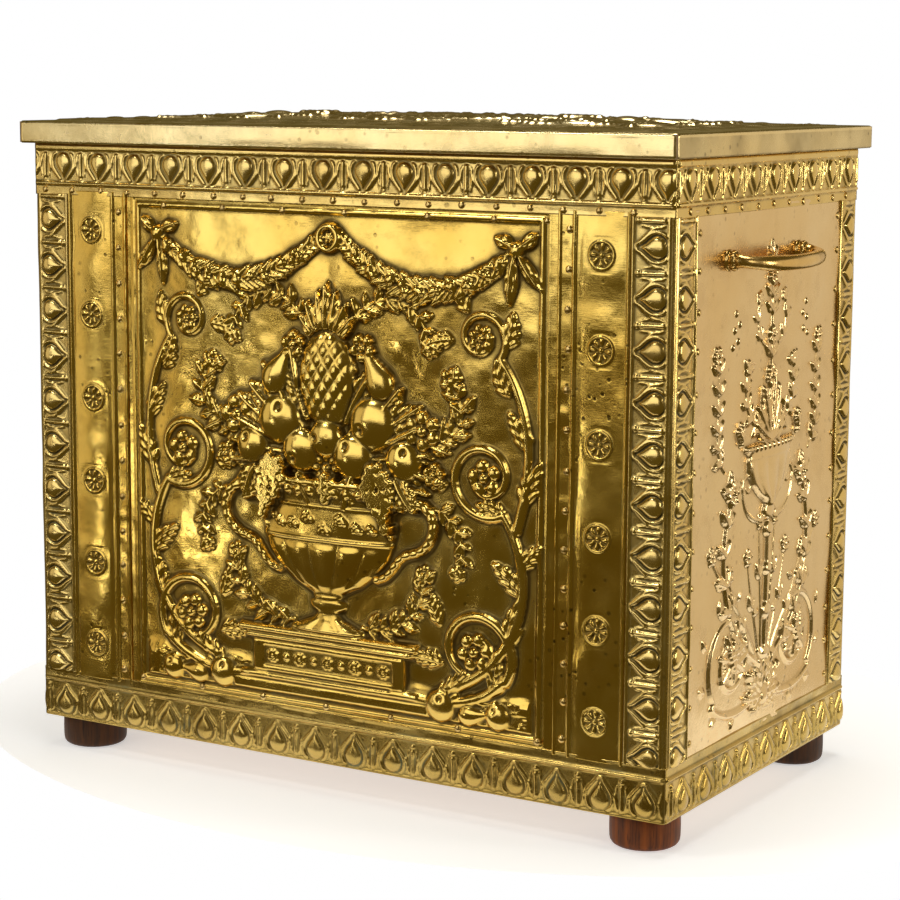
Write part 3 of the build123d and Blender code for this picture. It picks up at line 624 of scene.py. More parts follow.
# ============================================================ front picture
def picture_relief():
    c = Canvas(-190, 190, 36, 426, 0.9)
    U, V = c.U, c.V
    edge = np.minimum(np.minimum(U + 190, 190 - U), np.minimum(V - 40, 422 - V))
    pillow = 2.6 * smooth(8, 60, edge)
    bg = pillow + 0.55 * fbm(U, V, 46, 3, 3) * smooth(0, 20, edge)
    # hammered ground
    bg += 0.05 * vnoise(U, V, 7.0, 21)
    bg += 0.16 * vnoise(U, V, 17, 28) * smooth(14, 40, edge)
    c.set_bg(bg)
    # field frame
    fr = np.maximum(np.abs(U) - 176, np.abs(V - 231) - 184)
    c.h += rib_profile(fr - 2.0, 2.2, 1.8) + rib_profile(fr - 7.5, 1.1, 0.7)
    # ground: rough turf along the foot of the scene
    ground = smooth(76, 66, V + 5 * vnoise(U, V * 0, 38, 41)) * smooth(174, 170, np.abs(U)) * (V > 49)
    turf = ground * (1.9 + 0.9 * np.abs(vnoise(U, V * 2.2, 9, 42)) + 0.5 * vnoise(U, V, 5, 43))
    c.h = np.maximum(c.h, bg + turf)

    # great scrolls at both sides
    for m in (-1, 1):
        def P(pts):
            pts = np.array(pts, float)
            pts[:, 0] *= m
            return pts
        j = 1.5 * m
        low = np.concatenate([bez((58, 66), (88, 58), (128, 60), (150, 84), 30), arc(127, 104, 32, 9, -38, 470, 130)])
        c.tube(P(low), 5.2, 2.6, 4.6, 3.0, lift=0.6)
        up = np.concatenate([bez((104, 74), (172, 96), (176, 170), (150, 206), 36), arc(134, 232, 30, 8, -58, -560, 130)])
        c.tube(P(up), 4.8, 2.4, 4.2, 2.8, lift=0.4)
        top = np.concatenate([bez((160, 196), (176, 246), (168, 290), (146, 318), 34), arc(130, 332, 21, 6, -40, 420, 90)])
        c.tube(P(top), 4.0, 2.0, 3.6, 2.4, lift=0.3)

        def L(x, y, ang, ln, wd, hh, bend=0.0, kind="a", lift=0.4, mode="max"):
            a = math.radians(ang if m > 0 else 180 - ang)
            fn = acanthus(ln, wd, hh, bend, 4) if kind == "a" else leaf(ln, wd, hh, bend, 5, 0.22, 5.0)
            c.stamp(m * x, y, ln + 4, fn, rot=a, mirror=(m < 0), lift=lift, mode=mode)
        # acanthus leaves breaking from the stems
        for (x, y, ang, ln, wd, hh, bd) in (
                (92, 62, 28, 38, 10, 4.6, 0.30), (140, 72, 62, 34, 9, 4.2, 0.35), (112, 66, -6, 34, 8, 3.6, 0.18),
                (158, 110, 100, 36, 9, 4.0, -0.30), (166, 146, 118, 34, 9, 4.0, 0.30), (164, 168, 62, 24, 7, 3.2, -0.2),
                (100, 92, 160, 26, 8, 3.8, 0.25), (98, 120, 118, 24, 7, 3.4, -0.2), (150, 205, 150, 24, 8, 3.6, 0.2),
                (166, 214, 84, 34, 9, 4.0, -0.26), (168, 252, 104, 32, 8, 3.6, 0.24), (104, 226, 190, 24, 7, 3.4, -0.25),
                (112, 258, 150, 22, 7, 3.2, 0.2), (154, 292, 128, 28, 8, 3.6, -0.25), (108, 330, 180, 22, 7, 3.2, 0.2),
                (120, 350, 130, 24, 7, 3.2, -0.25), (150, 326, 62, 26, 8, 3.4, 0.25)):
            L(x, y, ang, ln, wd, hh, bd)
        # flowers in the eyes of the scrolls
        c.stamp(m * 127, 104, 17, flower(15, 6, 5.2), rot=0.2, lift=1.2)
        c.stamp(m * 134, 232, 15, flower(13.5, 5, 4.8), rot=0.5, lift=1.0)
        c.stamp(m * 130, 332, 12, flower(10.5, 7, 4.2), rot=0.1, lift=0.8)
        # windfalls on the ground
        c.stamp(m * 98, 60, 14, apple(12.5, 7.5), rot=0.3, lift=1.5)
        c.stamp(m * 146, 58, 12, apple(10.5, 6.2), rot=0.9, lift=1.2)
        c.stamp(m * 121, 56, 22, pear(8.5, 5.8), rot=math.radians(8 if m > 0 else 172), lift=1.2)
        # garland of leaves and berries from the corner knot to the middle ring
        t = np.linspace(0, 1, 34)
        gx, gy = 156 - 146 * t, 393 - 92 * t * (1 - t) * 1.35 + 4 * t
        rs = np.random.RandomState(5 + m)
        for k in range(34):
            dx, dy = -146.0, -92 * 1.35 * (1 - 2 * t[k]) + 4
            ang = math.degrees(math.atan2(dy, dx))
            wl = 9 + 6 * math.sin(math.pi * t[k])
            for sgn in (-1, 1):
                a = math.radians(ang + sgn * 38 + rs.uniform(-10, 10))
                a = a if m > 0 else math.pi - a
                c.stamp(m * gx[k], gy[k], wl + 4, leaf(wl, 3.6, 2.8, 0.0, 0, 0, 4.0), rot=a, lift=0.8 + 1.4 * math.sin(math.pi * t[k]))
        for k in range(2, 32, 3):
            for q in range(3):
                c.stamp(m * (gx[k] + rs.uniform(-3.2, 3.2)), gy[k] + rs.uniform(-3.2, 3.2), 4, dome(2.9, 2.6), lift=3.6 + 1.4 * math.sin(math.pi * t[k]))
        # corner bow and its ribbon ends
        for ang, ln in ((28, 20), (150, 20), (-62, 34), (-104, 40)):
            a = math.radians(ang if m > 0 else 180 - ang)
            c.stamp(m * 158, 396, ln + 4, leaf(ln, 5.2, 4.0, 0.12, 0, 0, 9.0, 1.25), rot=a, mirror=(m < 0), lift=0.8)
        c.stamp(m * 158, 396, 8, dome(6.0, 5.0), lift=1.4)

    # plinth
    def block(u, v0, v1, h, r=1.6):
        w = c.win(0, (v0 + v1) / 2, max(u, (v1 - v0) / 2) + 6)
        X, Y = np.abs(c.U[w]) - u, np.abs(c.V[w] - (v0 + v1) / 2) - (v1 - v0) / 2
        d = np.maximum(X, Y)
        k = h * smooth(r, -r, d)
        c.h[w] = np.maximum(c.h[w], c.bg[w] * 0.6 + k)
    block(88, 50, 60, 5.2)
    block(80, 60, 66, 6.4)
    block(68, 66, 92, 6.0)
    block(74, 92, 97, 7.6)
    block(80, 97, 103, 8.6)
    w = c.win(0, 79, 70)
    d = np.maximum(np.abs(c.U[w]) - 58, np.abs(c.V[w] - 79) - 8)
    c.h[w] -= 1.6 * smooth(0.6, -0.8, d)
    for k in range(-4, 5):
        c.stamp(k * 12.5, 79, 8, flower(5.6, 4 if k % 2 else 8, 1.9) if k % 2 == 0 else dome(2.6, 1.9), rot=0.39, lift=4.0)

    # urn
    def prof(v):
        pts = [(103, 34), (107, 33), (109, 26), (114, 14), (118, 10), (122, 16), (126, 17), (129, 12), (133, 15),
               (140, 30), (150, 43), (162, 53), (176, 58), (188, 57), (196, 51), (201, 48), (206, 52), (211, 66), (216, 68), (220, 66)]
        return np.interp(v, [p[0] for p in pts], [p[1] for p in pts])
    w = c.win(0, 161, 90)
    X, Y = c.U[w], c.V[w]
    W = prof(Y)
    a = np.abs(X) / W
    inside = (a < 1) & (Y > 103) & (Y < 220)
    phi = np.arcsin(np.clip(X / W, -1, 1))
    body = (2.4 + 8.2 * (W / 68) ** 0.7) * np.sqrt(np.clip(1 - a ** 2.2, 0, 1))
    gad = 1.5 * np.abs(np.cos(phi * 7)) ** 0.7 * smooth(133, 140, Y) * smooth(173, 166, Y) * np.sqrt(np.clip(1 - a * a, 0, 1))
    top_arc = 1.3 * np.abs(np.cos(phi * 7)) ** 0.7
    flutes = 1.0 * np.abs(np.cos(phi * 5)) * smooth(103, 106, Y) * smooth(116, 110, Y)
    bandr = rib_profile(Y - 174.5, 1.5, 1.5) + rib_profile(Y - 199.5, 1.3, 1.4) + rib_profile(Y - 104.5, 1.5, 1.2) + rib_profile(Y - 130, 1.2, 1.0) + rib_profile(Y - 217, 2.6, 1.6)
    hh = np.where(inside, body + gad + flutes + bandr, 0)
    c.h[w] = np.where(inside & (hh > 0), np.maximum(c.bg[w] * 0.5 + hh + 1.2, c.h[w]), c.h[w])
    # beads on the rim and a chain of husks on the shoulder
    for k in range(-9, 10):
        ph = k / 9.6 * math.pi / 2
        c.stamp(67 * math.sin(ph), 211, 4.2, dome(3.0 * max(0.35, math.cos(ph)) + 0.5, 2.2, sx=1.0), lift=9.5 * math.cos(ph) ** 0.6 + 1.0)
    for k in range(-5, 6):
        ph = k / 6.0 * math.pi / 2
        x, y = 57 * math.sin(ph), 192 - 9 * math.cos(k * math.pi / 2.5) ** 2
        c.stamp(x, y, 6, flower(4.8 * max(0.5, math.cos(ph)), 5, 1.8), rot=0.2 * k, lift=9.0 * math.cos(ph) ** 0.6 + 0.6)
        c.stamp(x + 5.2 * math.cos(ph), y - 2, 4, dome(2.2, 1.4), lift=9.2 * math.cos(ph) ** 0.6 + 0.6)
    for m in (-1, 1):
        hp = np.concatenate([bez((60, 206), (98, 222), (104, 176), (72, 170), 34), bez((72, 170), (58, 166), (60, 152), (44, 148), 20)])
        hp[:, 0] *= m
        c.tube(hp, 4.6, 3.2, 5.4, 4.4, lift=1.6, ribs=7)
        c.stamp(m * 62, 207, 10, flower(7.5, 6, 4.0), lift=3.0)

    # the heap: leaves behind, then fruit, then grapes over the rim
    rs = np.random.RandomState(77)
    for k, ang in enumerate(np.linspace(-12, 192, 19)):
        a = math.radians(ang)
        r0 = 36 if k % 2 else 28
        ln = 46 + 10 * math.sin(a) + rs.uniform(-4, 4) + (0 if k % 2 else 10)
        c.stamp(r0 * 1.2 * math.cos(a), 232 + r0 * 0.9 * math.sin(a), ln + 6, leaf(ln, 12.5, 4.8, rs.uniform(-0.14, 0.14), 5, 0.24, 6.0),
                rot=a + rs.uniform(-0.1, 0.1), mirror=(k % 3 == 0), lift=1.0 + 0.8 * (k % 2))
    # pineapple with its crown
    for ang in (-52, -34, -17, 0, 17, 34, 52):
        a = math.radians(90 + ang)
        ln = 44 - 0.32 * abs(ang)
        c.stamp(0 + 5 * math.cos(a), 322, ln + 4, leaf(ln, 6.0, 4.4, -0.12 * np.sign(ang), 0, 0, 12.0), rot=a, lift=2.0 + 1.2 * (ang % 2 == 0))
    w = c.win(0, 296, 44)
    X, Y = c.U[w], c.V[w] - 294
    e = np.sqrt((X / 25) ** 2 + (Y / 37) ** 2)
    lat = np.abs(np.sin((X * 0.9 + Y * 0.62) * math.pi / 9.2)) * np.abs(np.sin((X * 0.9 - Y * 0.62) * math.pi / 9.2))
    pine = np.where(e < 1, 8.2 * np.sqrt(np.clip(1 - e ** 2.4, 0, 1)) + 1.9 * lat ** 0.8 * np.sqrt(np.clip(1 - e * e, 0, 1)), 0)
    c.h[w] = np.where(pine > 0.2, np.maximum(c.bg[w] + 1.2 + pine, c.h[w] * 0.0), c.h[w])
    for (x, y, r, rot) in ((-41, 262, 19, 0.4), (41, 264, 20, 2.6), (-66, 240, 15.5, 1.2), (67, 238, 16, 0.2), (-22, 240, 17, 3.0), (24, 238, 18, 1.0), (0, 250, 15, 2.0)):
        c.stamp(x, y, r + 1, apple(r, 8.2), rot=rot, lift=2.4 if abs(x) > 50 else 3.2)
        c.stamp(x, y, 9, lambda X, Y: 0 * X, lift=0)
    c.stamp(-46, 292, 42, pear(12.5, 7.6), rot=math.radians(62), lift=2.2)
    c.stamp(47, 293, 42, pear(12.5, 7.6), rot=math.radians(118), lift=2.2)
    for (x, y, R, n) in ((-82, 262, 15, 5), (83, 262, 15, 6), (-30, 318, 11, 5), (31, 319, 11, 5), (0, 228, 13, 8), (-92, 232, 9, 5), (93, 231, 9, 5)):
        c.stamp(x, y, R + 1, flower(R, n, 4.8), rot=0.07 * x, lift=3.2)
    grapes(c, -44, 232, 52, 21, 8.6, math.radians(-104), 7, lift=6.4)
    grapes(c, 45, 232, 56, 22, 8.6, math.radians(-78), 8, lift=6.4)
    grapes(c, 2, 222, 24, 15, 6.0, math.radians(-90), 9, lift=8.0, r=3.8)
    for (x, y, ang, ln) in ((-62, 226, -118, 30), (62, 226, -62, 30), (-24, 224, -70, 26), (25, 224, -112, 26)):
        c.stamp(x, y, ln + 4, leaf(ln, 10, 4.2, 0.12, 5, 0.25, 5.0), rot=math.radians(ang), lift=6.2)
    # ring that holds the two garlands
    c.stamp(0, 398, 14, ring(8.5, 3.0, 4.6), lift=1.8)
    c.stamp(0, 398, 6, flower(5.0, 6, 3.0), lift=1.8)
    # trailing vines in the ground left free
    for m in (-1, 1):
        vine(c, bez((56, 238), (98, 256), (132, 262), (106, 300)), m, 19, 6.0, 3.6, seed=3)
        vine(c, bez((22, 336), (40, 366), (82, 362), (88, 322)), m, 15, 4.8, 3.0, seed=4)
        vine(c, bez((30, 110), (62, 106), (86, 128), (84, 156)), m, 16, 5.2, 3.2, seed=5)
        vine(c, bez((92, 206), (112, 200), (122, 178), (112, 160)), m, 13, 4.4, 2.8, seed=6)
    # the press left everything a little soft, and the hand-work a little uneven
    h = blur(c.h, 0.62)
    h = h + 0.12 * vnoise(U, V, 13, 61) + 0.04 * vnoise(U, V, 6, 62)
    h = np.clip(h, -0.4, 15.0)
    rim = smooth(0.0, 3.0, np.minimum(U + 190, 190 - U))
    c.h = h * (0.25 + 0.75 * rim)
    return c


c = picture_relief()
CAN_PIC = c
ob = sheet_mesh("picture_sheet", on_front(c, base=-T), back_to(1, YF + 2 * T), cavity(c.h, c.pitch))
finish_piece(ob, M_front, "box", "front_sheet_brass", "front_picture_sheet")


# ======================================================== rosette strips
def rosette_fn(X, Y):
    r = np.sqrt(X * X + Y * Y)
    th = np.arctan2(Y, X)
    lob = np.clip(np.cos(8 * (th + 0.12)) * 0.5 + 0.5, 0, 1)
    wide = smooth(0.30, 0.62, lob) * smooth(2.7, 3.6, r) * smooth(8.6, 7.7, r)
    pet = 1.7 * wide * (0.65 + 0.35 * smooth(2.5, 7.0, r))
    but = 1.6 * np.sqrt(np.clip(1 - (r / 2.0) ** 2, 0, 1))
    rim = rib_profile(r - 9.5, 0.9, 0.9)
    pan = -0.75 * smooth(9.0, 8.2, r)
    return np.maximum(pet, but) + rim + pan


ROS_Z = [66.0, 131.8, 197.6, 263.4, 329.2, 395.0]


def rosette_relief(side):
    u0, u1 = (190, 252) if side > 0 else (-252, -190)
    c = Canvas(u0, u1, 37, 425, 0.62)
    U, V = c.U, c.V
    A = np.abs(U)
    seed = 100 if side > 0 else 140
    flat = smooth(204.5, 210, A) * smooth(245, 240, A)
    wave = 1.15 * vnoise(U * 0.5, V, 38, seed) + 0.38 * vnoise(U, V, 19, seed + 1) + 0.03 * vnoise(U, V, 8, seed + 2)
    crown = 1.3 * np.clip(1 - ((A - 224.5) / 19) ** 2, 0, 1)
    h = 0.9 * wave * (0.25 + 0.75 * flat) + crown * flat + 0.5
    h += rib_profile(A - 203.0, 1.5, 2.0) + rib_profile(A - 245.2, 1.4, 2.0)
    h += rib_profile(A - 191.2, 1.4, 1.2)
    h += 0.25 * vnoise(U, V, 9, seed + 5) * (A < 203)
    c.h = h
    c.ex = np.zeros_like(h)
    for z in ROS_Z:
        w = c.win(side * 224.5, z, 13)
        loc = c.h[w]
        X, Y = c.U[w] - side * 224.5, c.V[w] - z
        r = np.sqrt(X * X + Y * Y)
        # the flat is drawn down a little round each rosette
        c.h[w] = loc - 0.12 * np.exp(-((r - 12.0) / 3.0) ** 2)
        ros = rosette_fn(X, Y)
        c.h[w] += ros
        c.ex[w] = np.maximum(c.ex[w], 0.85 * smooth(9.4, 8.7, r) * (ros < 0.1) + 0.45 * np.exp(-((r - 10.7) / 0.55) ** 2))
    c.h = np.clip(blur(c.h, 0.55), -0.6, 5)
    return c


CAN_ROS = {}
for side, nm in ((1, "right"), (-1, "left")):
    c = rosette_relief(side)
    CAN_ROS[side] = c
    ob = sheet_mesh(nm + "_rosettes", on_front(c, base=-T), back_to(1, YF + 2 * T), cavity(c.h, c.pitch, 1.0, 3.5) * 0.8 + c.ex)
    finish_piece(ob, M_strip, "box", "front_sheet_brass", nm + "_rosette_strip")


# ================================================================= borders
def band_relief(u0, u1, level, first, pitch, seed, ends=(True, True)):
    v0, v1 = (0.0, 40.0) if level == "bottom" else (421.5, 461.5)
    c = Canvas(u0, u1, v0, v1, 0.8)
    U, V = c.U, c.V
    ju = 0.5 * vnoise(U, V, 24, seed)
    jv = 0.45 * vnoise(U, V, 31, seed + 1)
    if level == "top":
        b = 457.0 - (V + jv)
        zone = smooth(455.8, 454.8, V) * smooth(432.2, 433.2, V)
        h = egg_and_dart(U + ju - first, b - 1.0, pitch) * zone
        h += rib_profile(V - 430.4, 1.7, 2.2)
        h += 1.6 * smooth(455.2, 457.2, V) * (1 - 0.8 * smooth(459.6, 461.5, V))
        low = smooth(429, 422, V)
    else:
        b = V + jv
        zone = smooth(1.8, 2.8, V) * smooth(28.4, 27.4, V)
        h = egg_and_dart(U + ju - first, b - 1.4, pitch) * zone
        h += rib_profile(V - 31.0, 1.7, 2.2)
        h += 0.7 * smooth(3.0, 1.0, V)
        low = smooth(32.5, 38, V)
    wob = 0.30 * vnoise(U, V, 40, seed + 4) + 0.10 * vnoise(U, V, 9, seed + 5)
    h = 0.92 * h * (1 + 0.10 * vnoise(U, V, 30, seed + 6)) + wob * (0.4 + low) + 0.15
    edge = (V - v0) if level == "top" else (v1 - V)
    h += 0.45 * smooth(2.6, 0.8, edge) * (0.6 + 0.8 * vnoise(U, V * 0, 17, seed + 7))
    # turned over at the ends
    if ends[0]:
        h = h * smooth(-0.6, 2.6, U - u0) - 0.35 * smooth(1.6, 0.0, U - u0)
    if ends[1]:
        h = h * smooth(-0.6, 2.6, u1 - U) - 0.35 * smooth(1.6, 0.0, u1 - U)
    c.h = np.clip(blur(h, 0.5), -0.5, 6)
    return c


CAN = {}
# the bottom bands take the dimmed copy of the border brass: painted shade plus tarnish
for level, first_f, pitch_f, first_s, pitch_s in (("top", 204.0, 35.0, 20.0, 35.0), ("bottom", 264.0, 34.8, 27.5, 36.2)):
    c = band_relief(-XS, XS, level, first_f, pitch_f, 200 if level == "top" else 230)
    CAN[level, "front"] = c
    ob = sheet_mesh(level + "_border_front", on_front(c), back_to(1, YF + T), cavity(c.h, c.pitch, 1.0, 3.0) * 0.8)
    finish_piece(ob, M_border if level == "top" else M_border_low_tarnish_and_shade, "box", "border_brass", level + "_band_front")
    c = band_relief(-XS, XS, level, 17.0, 35.0, 260 if level == "top" else 290)
    CAN[level, "back"] = c
    P = on_back(c)
    if level == "top":
        # cut down behind the two hinges
        hx = np.minimum(np.abs(P[..., 0] - 180), np.abs(P[..., 0] + 180))
        near = smooth(37, 33, hx) * smooth(455.0 - 2, 457.0 - 2, c.V + 6)
        leafz = smooth(35.5, 32.5, hx) * smooth(429.0, 433.0, c.V)
        P[..., 1] = P[..., 1] * (1 - leafz) + leafz * (YB - 0.05)
        top = (hx < 31.0) & (c.V > 460.2)
        P[..., 2] = np.where(top, Z0 + 460.2, P[..., 2])
    ob = sheet_mesh(level + "_border_back", P, back_to(1, YB - T), cavity(c.h, c.pitch, 1.0, 3.0) * 0.8)
    finish_piece(ob, M_border if level == "top" else M_border_low_tarnish_and_shade, "box", "border_brass", level + "_band_back")
    for nm, fn, sx in (("right", on_right, 1), ("left", on_left, -1)):
        c = band_relief(T, 320 - T, level, first_s, pitch_s, (310 if level == "top" else 340) + (sx < 0) * 60)
        CAN[level, nm] = c
        ob = sheet_mesh(level + "_border_" + nm, fn(c), back_to(0, sx * (XS - T)), cavity(c.h, c.pitch, 1.0, 3.0) * 0.8)
        finish_piece(ob, M_border if level == "top" else M_border_low_tarnish_and_shade, "box", "border_brass", level + "_band_" + nm)


def corner_strip(name, sx, sy, seed):
    """One strip wrapped round a vertical corner: s from -33 on the front or back to +33 on the side."""
    c = Canvas(-STRIP, STRIP, BAND - 1.0, 422.5, 0.8)
    S, V = c.U, c.V
    A = np.abs(S)
    js, jv = 0.4 * vnoise(S, V, 22, seed), 0.5 * vnoise(S, V, 30, seed + 1)
    b = A + js - 3.6
    h = egg_and_dart(V + jv - 44.5, b, 35.75) * smooth(4.6, 5.6, A) * smooth(29.6, 28.6, A)
    h += rib_profile(A - 31.0, 1.3, 1.9)
    h += rib_profile(A - 3.9, 1.1, 1.0)
    edge = STRIP - A
    lift = np.where(S > 0, 1.0, 0.25) * (1.3 if sy > 0 else 0.5)
    h = 0.9 * h + 0.1 + 0.25 * vnoise(S, V, 34, seed + 2) + 0.05 * vnoise(S, V, 8, seed + 3)
    h += lift * smooth(4.0, 0.0, edge) * np.clip(0.4 + 1.1 * vnoise(S * 0, V, 24, seed + 4), 0, 2)
    h *= 1 + 0.10 * vnoise(S, V, 26, seed + 5)
    h = np.clip(blur(h, 0.5), -0.4, 6)
    c.h = h
    # wrap about a rounded corner
    R = 2.6
    half = R * math.pi / 4
    sg = np.sign(S)
    flatlen = np.clip(A - half, 0, None)
    ang = np.clip(A, 0, half) / half * (math.pi / 4)
    # local frame: p along the face away from the corner, q outward
    cxn = XS - R
    cyn = (-YF if sy < 0 else YB) - R
    th = math.pi / 4 + np.where(S < 0, ang, -ang)
    nx, ny = np.cos(th), np.sin(th)
    x = cxn + (R + h) * nx
    y = cyn + (R + h) * ny
    x = np.where((S < 0), x - flatlen, x)
    y = np.where((S > 0), y - flatlen, y)
    # pull the wrap out so that both legs end where the flat ones do
    P = np.stack([sx * x, sy * y, Z0 + V], -1)

    def back(p):
        p = p.copy()
        ax, ay = np.abs(p[:, 0]), np.abs(p[:, 1])
        fx = ax - (XS - T)
        fyv = ay - ((-YF if sy < 0 else YB) - T)
        p[:, 0] = np.sign(p[:, 0]) * np.minimum(ax, XS - T)
        p[:, 1] = np.sign(p[:, 1]) * np.minimum(ay, (-YF if sy < 0 else YB) - T)
        return p
    flip = (sx * sy) > 0
    nv, nu = P.shape[:2]
    verts = P.reshape(-1, 3)
    quads = grid_faces(nv, nu)
    ids = loop_ids(nv, nu)
    m = len(ids)
    # the back of the strip is a second grid just behind, so that the L stays thin
    hb = np.full_like(h, -T)
    xb_, yb_ = cxn + (R + hb) * nx, cyn + (R + hb) * ny
    xb_ = np.where(S < 0, xb_ - flatlen, xb_)
    yb_ = np.where(S > 0, yb_ - flatlen, yb_)
    step = 6
    Bk = np.stack([sx * xb_, sy * yb_, Z0 + V], -1).reshape(-1, 3)
    n = len(verts)
    rim = np.arange(m) + n
    side = np.stack([ids, rim, np.roll(rim, -1), np.roll(ids, -1)], -1)
    # coarse back: rows top and bottom only
    iu = nu
    bot = rim[:iu]
    top_r = rim[(iu - 1) + (nv - 1):(iu - 1) + (nv - 1) + iu][::-1]
    cols = []
    right = rim[iu - 1:iu - 1 + nv]
    left = np.concatenate([[rim[0]], rim[(iu - 1) * 2 + (nv - 1):][::-1]])
    backq = np.stack([bot[:-1], top_r[:-1], top_r[1:], bot[1:]], -1)
    allq = np.concatenate([quads, side, backq[1:-1]])
    # the two outer columns of the back are fans along the long edges
    fan1 = [(left[k], left[k + 1], bot[1]) for k in range(nv - 1)]
    fan1 += [(left[nv - 1], top_r[1], bot[1])]
    fan2 = [(right[k + 1], right[k], bot[-2]) for k in range(nv - 1)]
    fan2 += [(top_r[-2], right[nv - 1], bot[-2])]
    tris = np.array(fan1 + fan2)
    vv = np.concatenate([verts, Bk[ids]])
    if flip:
        allq, tris = allq[:, ::-1], tris[:, ::-1]
    cav = np.concatenate([(cavity(h, c.pitch, 1.2, 3.2) * 1.25).ravel(), np.zeros(m)])
    return make_mesh(name, vv, allq, tris, {"cav": cav})


for nm, sx, sy, seed in (("front_left", -1, -1, 400), ("front_right", 1, -1, 420), ("back_left", -1, 1, 440), ("back_right", 1, 1, 460)):
    ob = corner_strip(nm + "_corner_border", sx, sy, seed)
    finish_piece(ob, M_border, "box", "border_brass", nm + "_corner_strip")


# ============================================================= side sheets
def side_relief(seed):
    c = Canvas(26, 294, 36, 426, 0.9)
    U, V = c.U, c.V
    edge = np.minimum(np.minimum(U - 26, 294 - U), np.minimum(V - 36, 426 - V))
    bg = 0.7 * fbm(U, V, 75, seed, 2) + 0.04 * vnoise(U, V, 15, seed + 9) + 0.6
    bg += 1.2 * smooth(20, 90, edge)
    c.set_bg(bg)
    cx = 160.0

    def both(fn):
        for m in (-1, 1):
            fn(m)
    # base: acanthus tuft
    for ang, ln, wd in ((90, 34, 9), (58, 32, 9), (122, 32, 9), (28, 34, 9), (152, 34, 9), (-6, 30, 8), (186, 30, 8), (-40, 20, 7), (220, 20, 7)):
        c.stamp(cx, 60, ln + 4, acanthus(ln, wd, 4.0, 0.15 * (1 if ang < 90 else -1), 4), rot=math.radians(ang), lift=0.5)
    c.stamp(cx, 58, 10, dome(7, 4.2), lift=1.0)

    def scroll(m):
        s = np.concatenate([bez((cx + m * 10, 62), (cx + m * 26, 54), (cx + m * 62, 48), (cx + m * 88, 66), 30),
                            arc(cx + m * 57, 96, 38, 13, -45, 430, 130) if m > 0 else np.array([[2 * cx - x, y] for x, y in arc(cx + 57, 96, 38, 13, -45, 430, 130)])])
        c.tube(s, 2.6, 1.8, 2.8, 2.0, lift=0.2)
        # leaves and fruit in the scroll
        for ang, ln in ((100, 24), (150, 26), (200, 24), (60, 22), (250, 20), (310, 22), (10, 20)):
            a = math.radians(ang if m > 0 else 180 - ang)
            c.stamp(cx + m * 57, 96, ln + 4, leaf(ln, 7.0, 3.0, 0.12 * m, 5, 0.3, 4.0), rot=a, lift=0.4)
        grapes(c, cx + m * 57, 110, 26, 15, 4.8, math.radians(-90), 11 + m, lift=1.2, r=2.7)
        for q in range(9):
            a = math.radians(-60 + q * 40)
            r = 45
            xx, yy = cx + m * (57 + r * math.cos(a)), 96 + r * math.sin(a)
            if 34 < xx < 286:
                c.stamp(xx, yy, 12, leaf(10, 3.4, 2.0, 0.1, 0, 0, 4), rot=(a + 0.8) if m > 0 else math.pi - a - 0.8, lift=0.1)
        # fan of stems with flowers
        for (x1, y1, x2, y2, R) in ((26, 128, 34, 166, 7), (40, 116, 66, 158, 8), (14, 150, 14, 190, 6), (60, 136, 92, 176, 7)):
            p = bez((cx + m * 4, 74), (cx + m * x1 * 0.4, y1 - 20), (cx + m * x1, y1), (cx + m * x2, y2), 26)
            c.tube(p, 1.5, 1.1, 1.8, 1.3, lift=0.1)
            c.stamp(cx + m * x2, y2 + 3, R + 2, flower(R, 5, 3.0), rot=0.3 * x1, lift=0.5)
            c.stamp(cx + m * x1, y1, 14, leaf(13, 3.6, 2.2, 0.15 * m, 0, 0, 4), rot=math.radians(60 if m > 0 else 120), lift=0.2)
            c.stamp(cx + m * x1, y1, 14, leaf(11, 3.2, 2.0, -0.15 * m, 0, 0, 4), rot=math.radians(130 if m > 0 else 50), lift=0.2)
        # long arms that rise from the root and carry a bloom each
        p = bez((cx + m * 6, 84), (cx + m * 64, 104), (cx + m * 92, 168), (cx + m * 62, 216), 50)
        c.tube(p, 2.5, 1.7, 3.0, 2.2, lift=0.2)
        for k in range(8, 48, 7):
            d = p[min(k + 1, 49)] - p[k - 1]
            a = math.atan2(d[1], d[0])
            for sg in (-1, 1):
                c.stamp(p[k][0], p[k][1], 16, leaf(15, 4.6, 3.0, 0.16 * sg, 4, 0.25, 4), rot=a + sg * 0.8, mirror=sg < 0, lift=0.3)
        c.stamp(p[-1][0], p[-1][1] + 4, 12, flower(10, 6, 4.6), rot=0.2, lift=0.8)
        for ang in (20, 90, 160):
            c.stamp(p[-1][0], p[-1][1] + 4, 20, leaf(17, 5.0, 3.0, 0.1, 4, 0.2, 4), rot=math.radians(ang), lift=0.2)
        # sprays above them
        p = bez((cx + m * 74, 238), (cx + m * 98, 254), (cx + m * 78, 290), (cx + m * 90, 322), 40)
        c.tube(p, 1.5, 1.0, 1.7, 1.1, lift=0.1)
        for k in range(4, 40, 6):
            d = p[min(k + 1, 39)] - p[k - 1]
            a = math.atan2(d[1], d[0])
            for sg in (-1, 1):
                c.stamp(p[k][0], p[k][1], 16, leaf(13, 4.0, 2.6, 0.12 * sg, 4, 0.25, 4), rot=a + sg * 0.85, mirror=sg < 0, lift=0.2)
        c.stamp(p[-1][0], p[-1][1], 9, flower(7.5, 6, 3.4), lift=0.5)
        for (dx, dy) in ((58, 330), (64, 338), (56, 342), (66, 326), (62, 350)):
            c.stamp(cx + m * dx, dy, 4, dome(2.6, 2.2), lift=0.2)
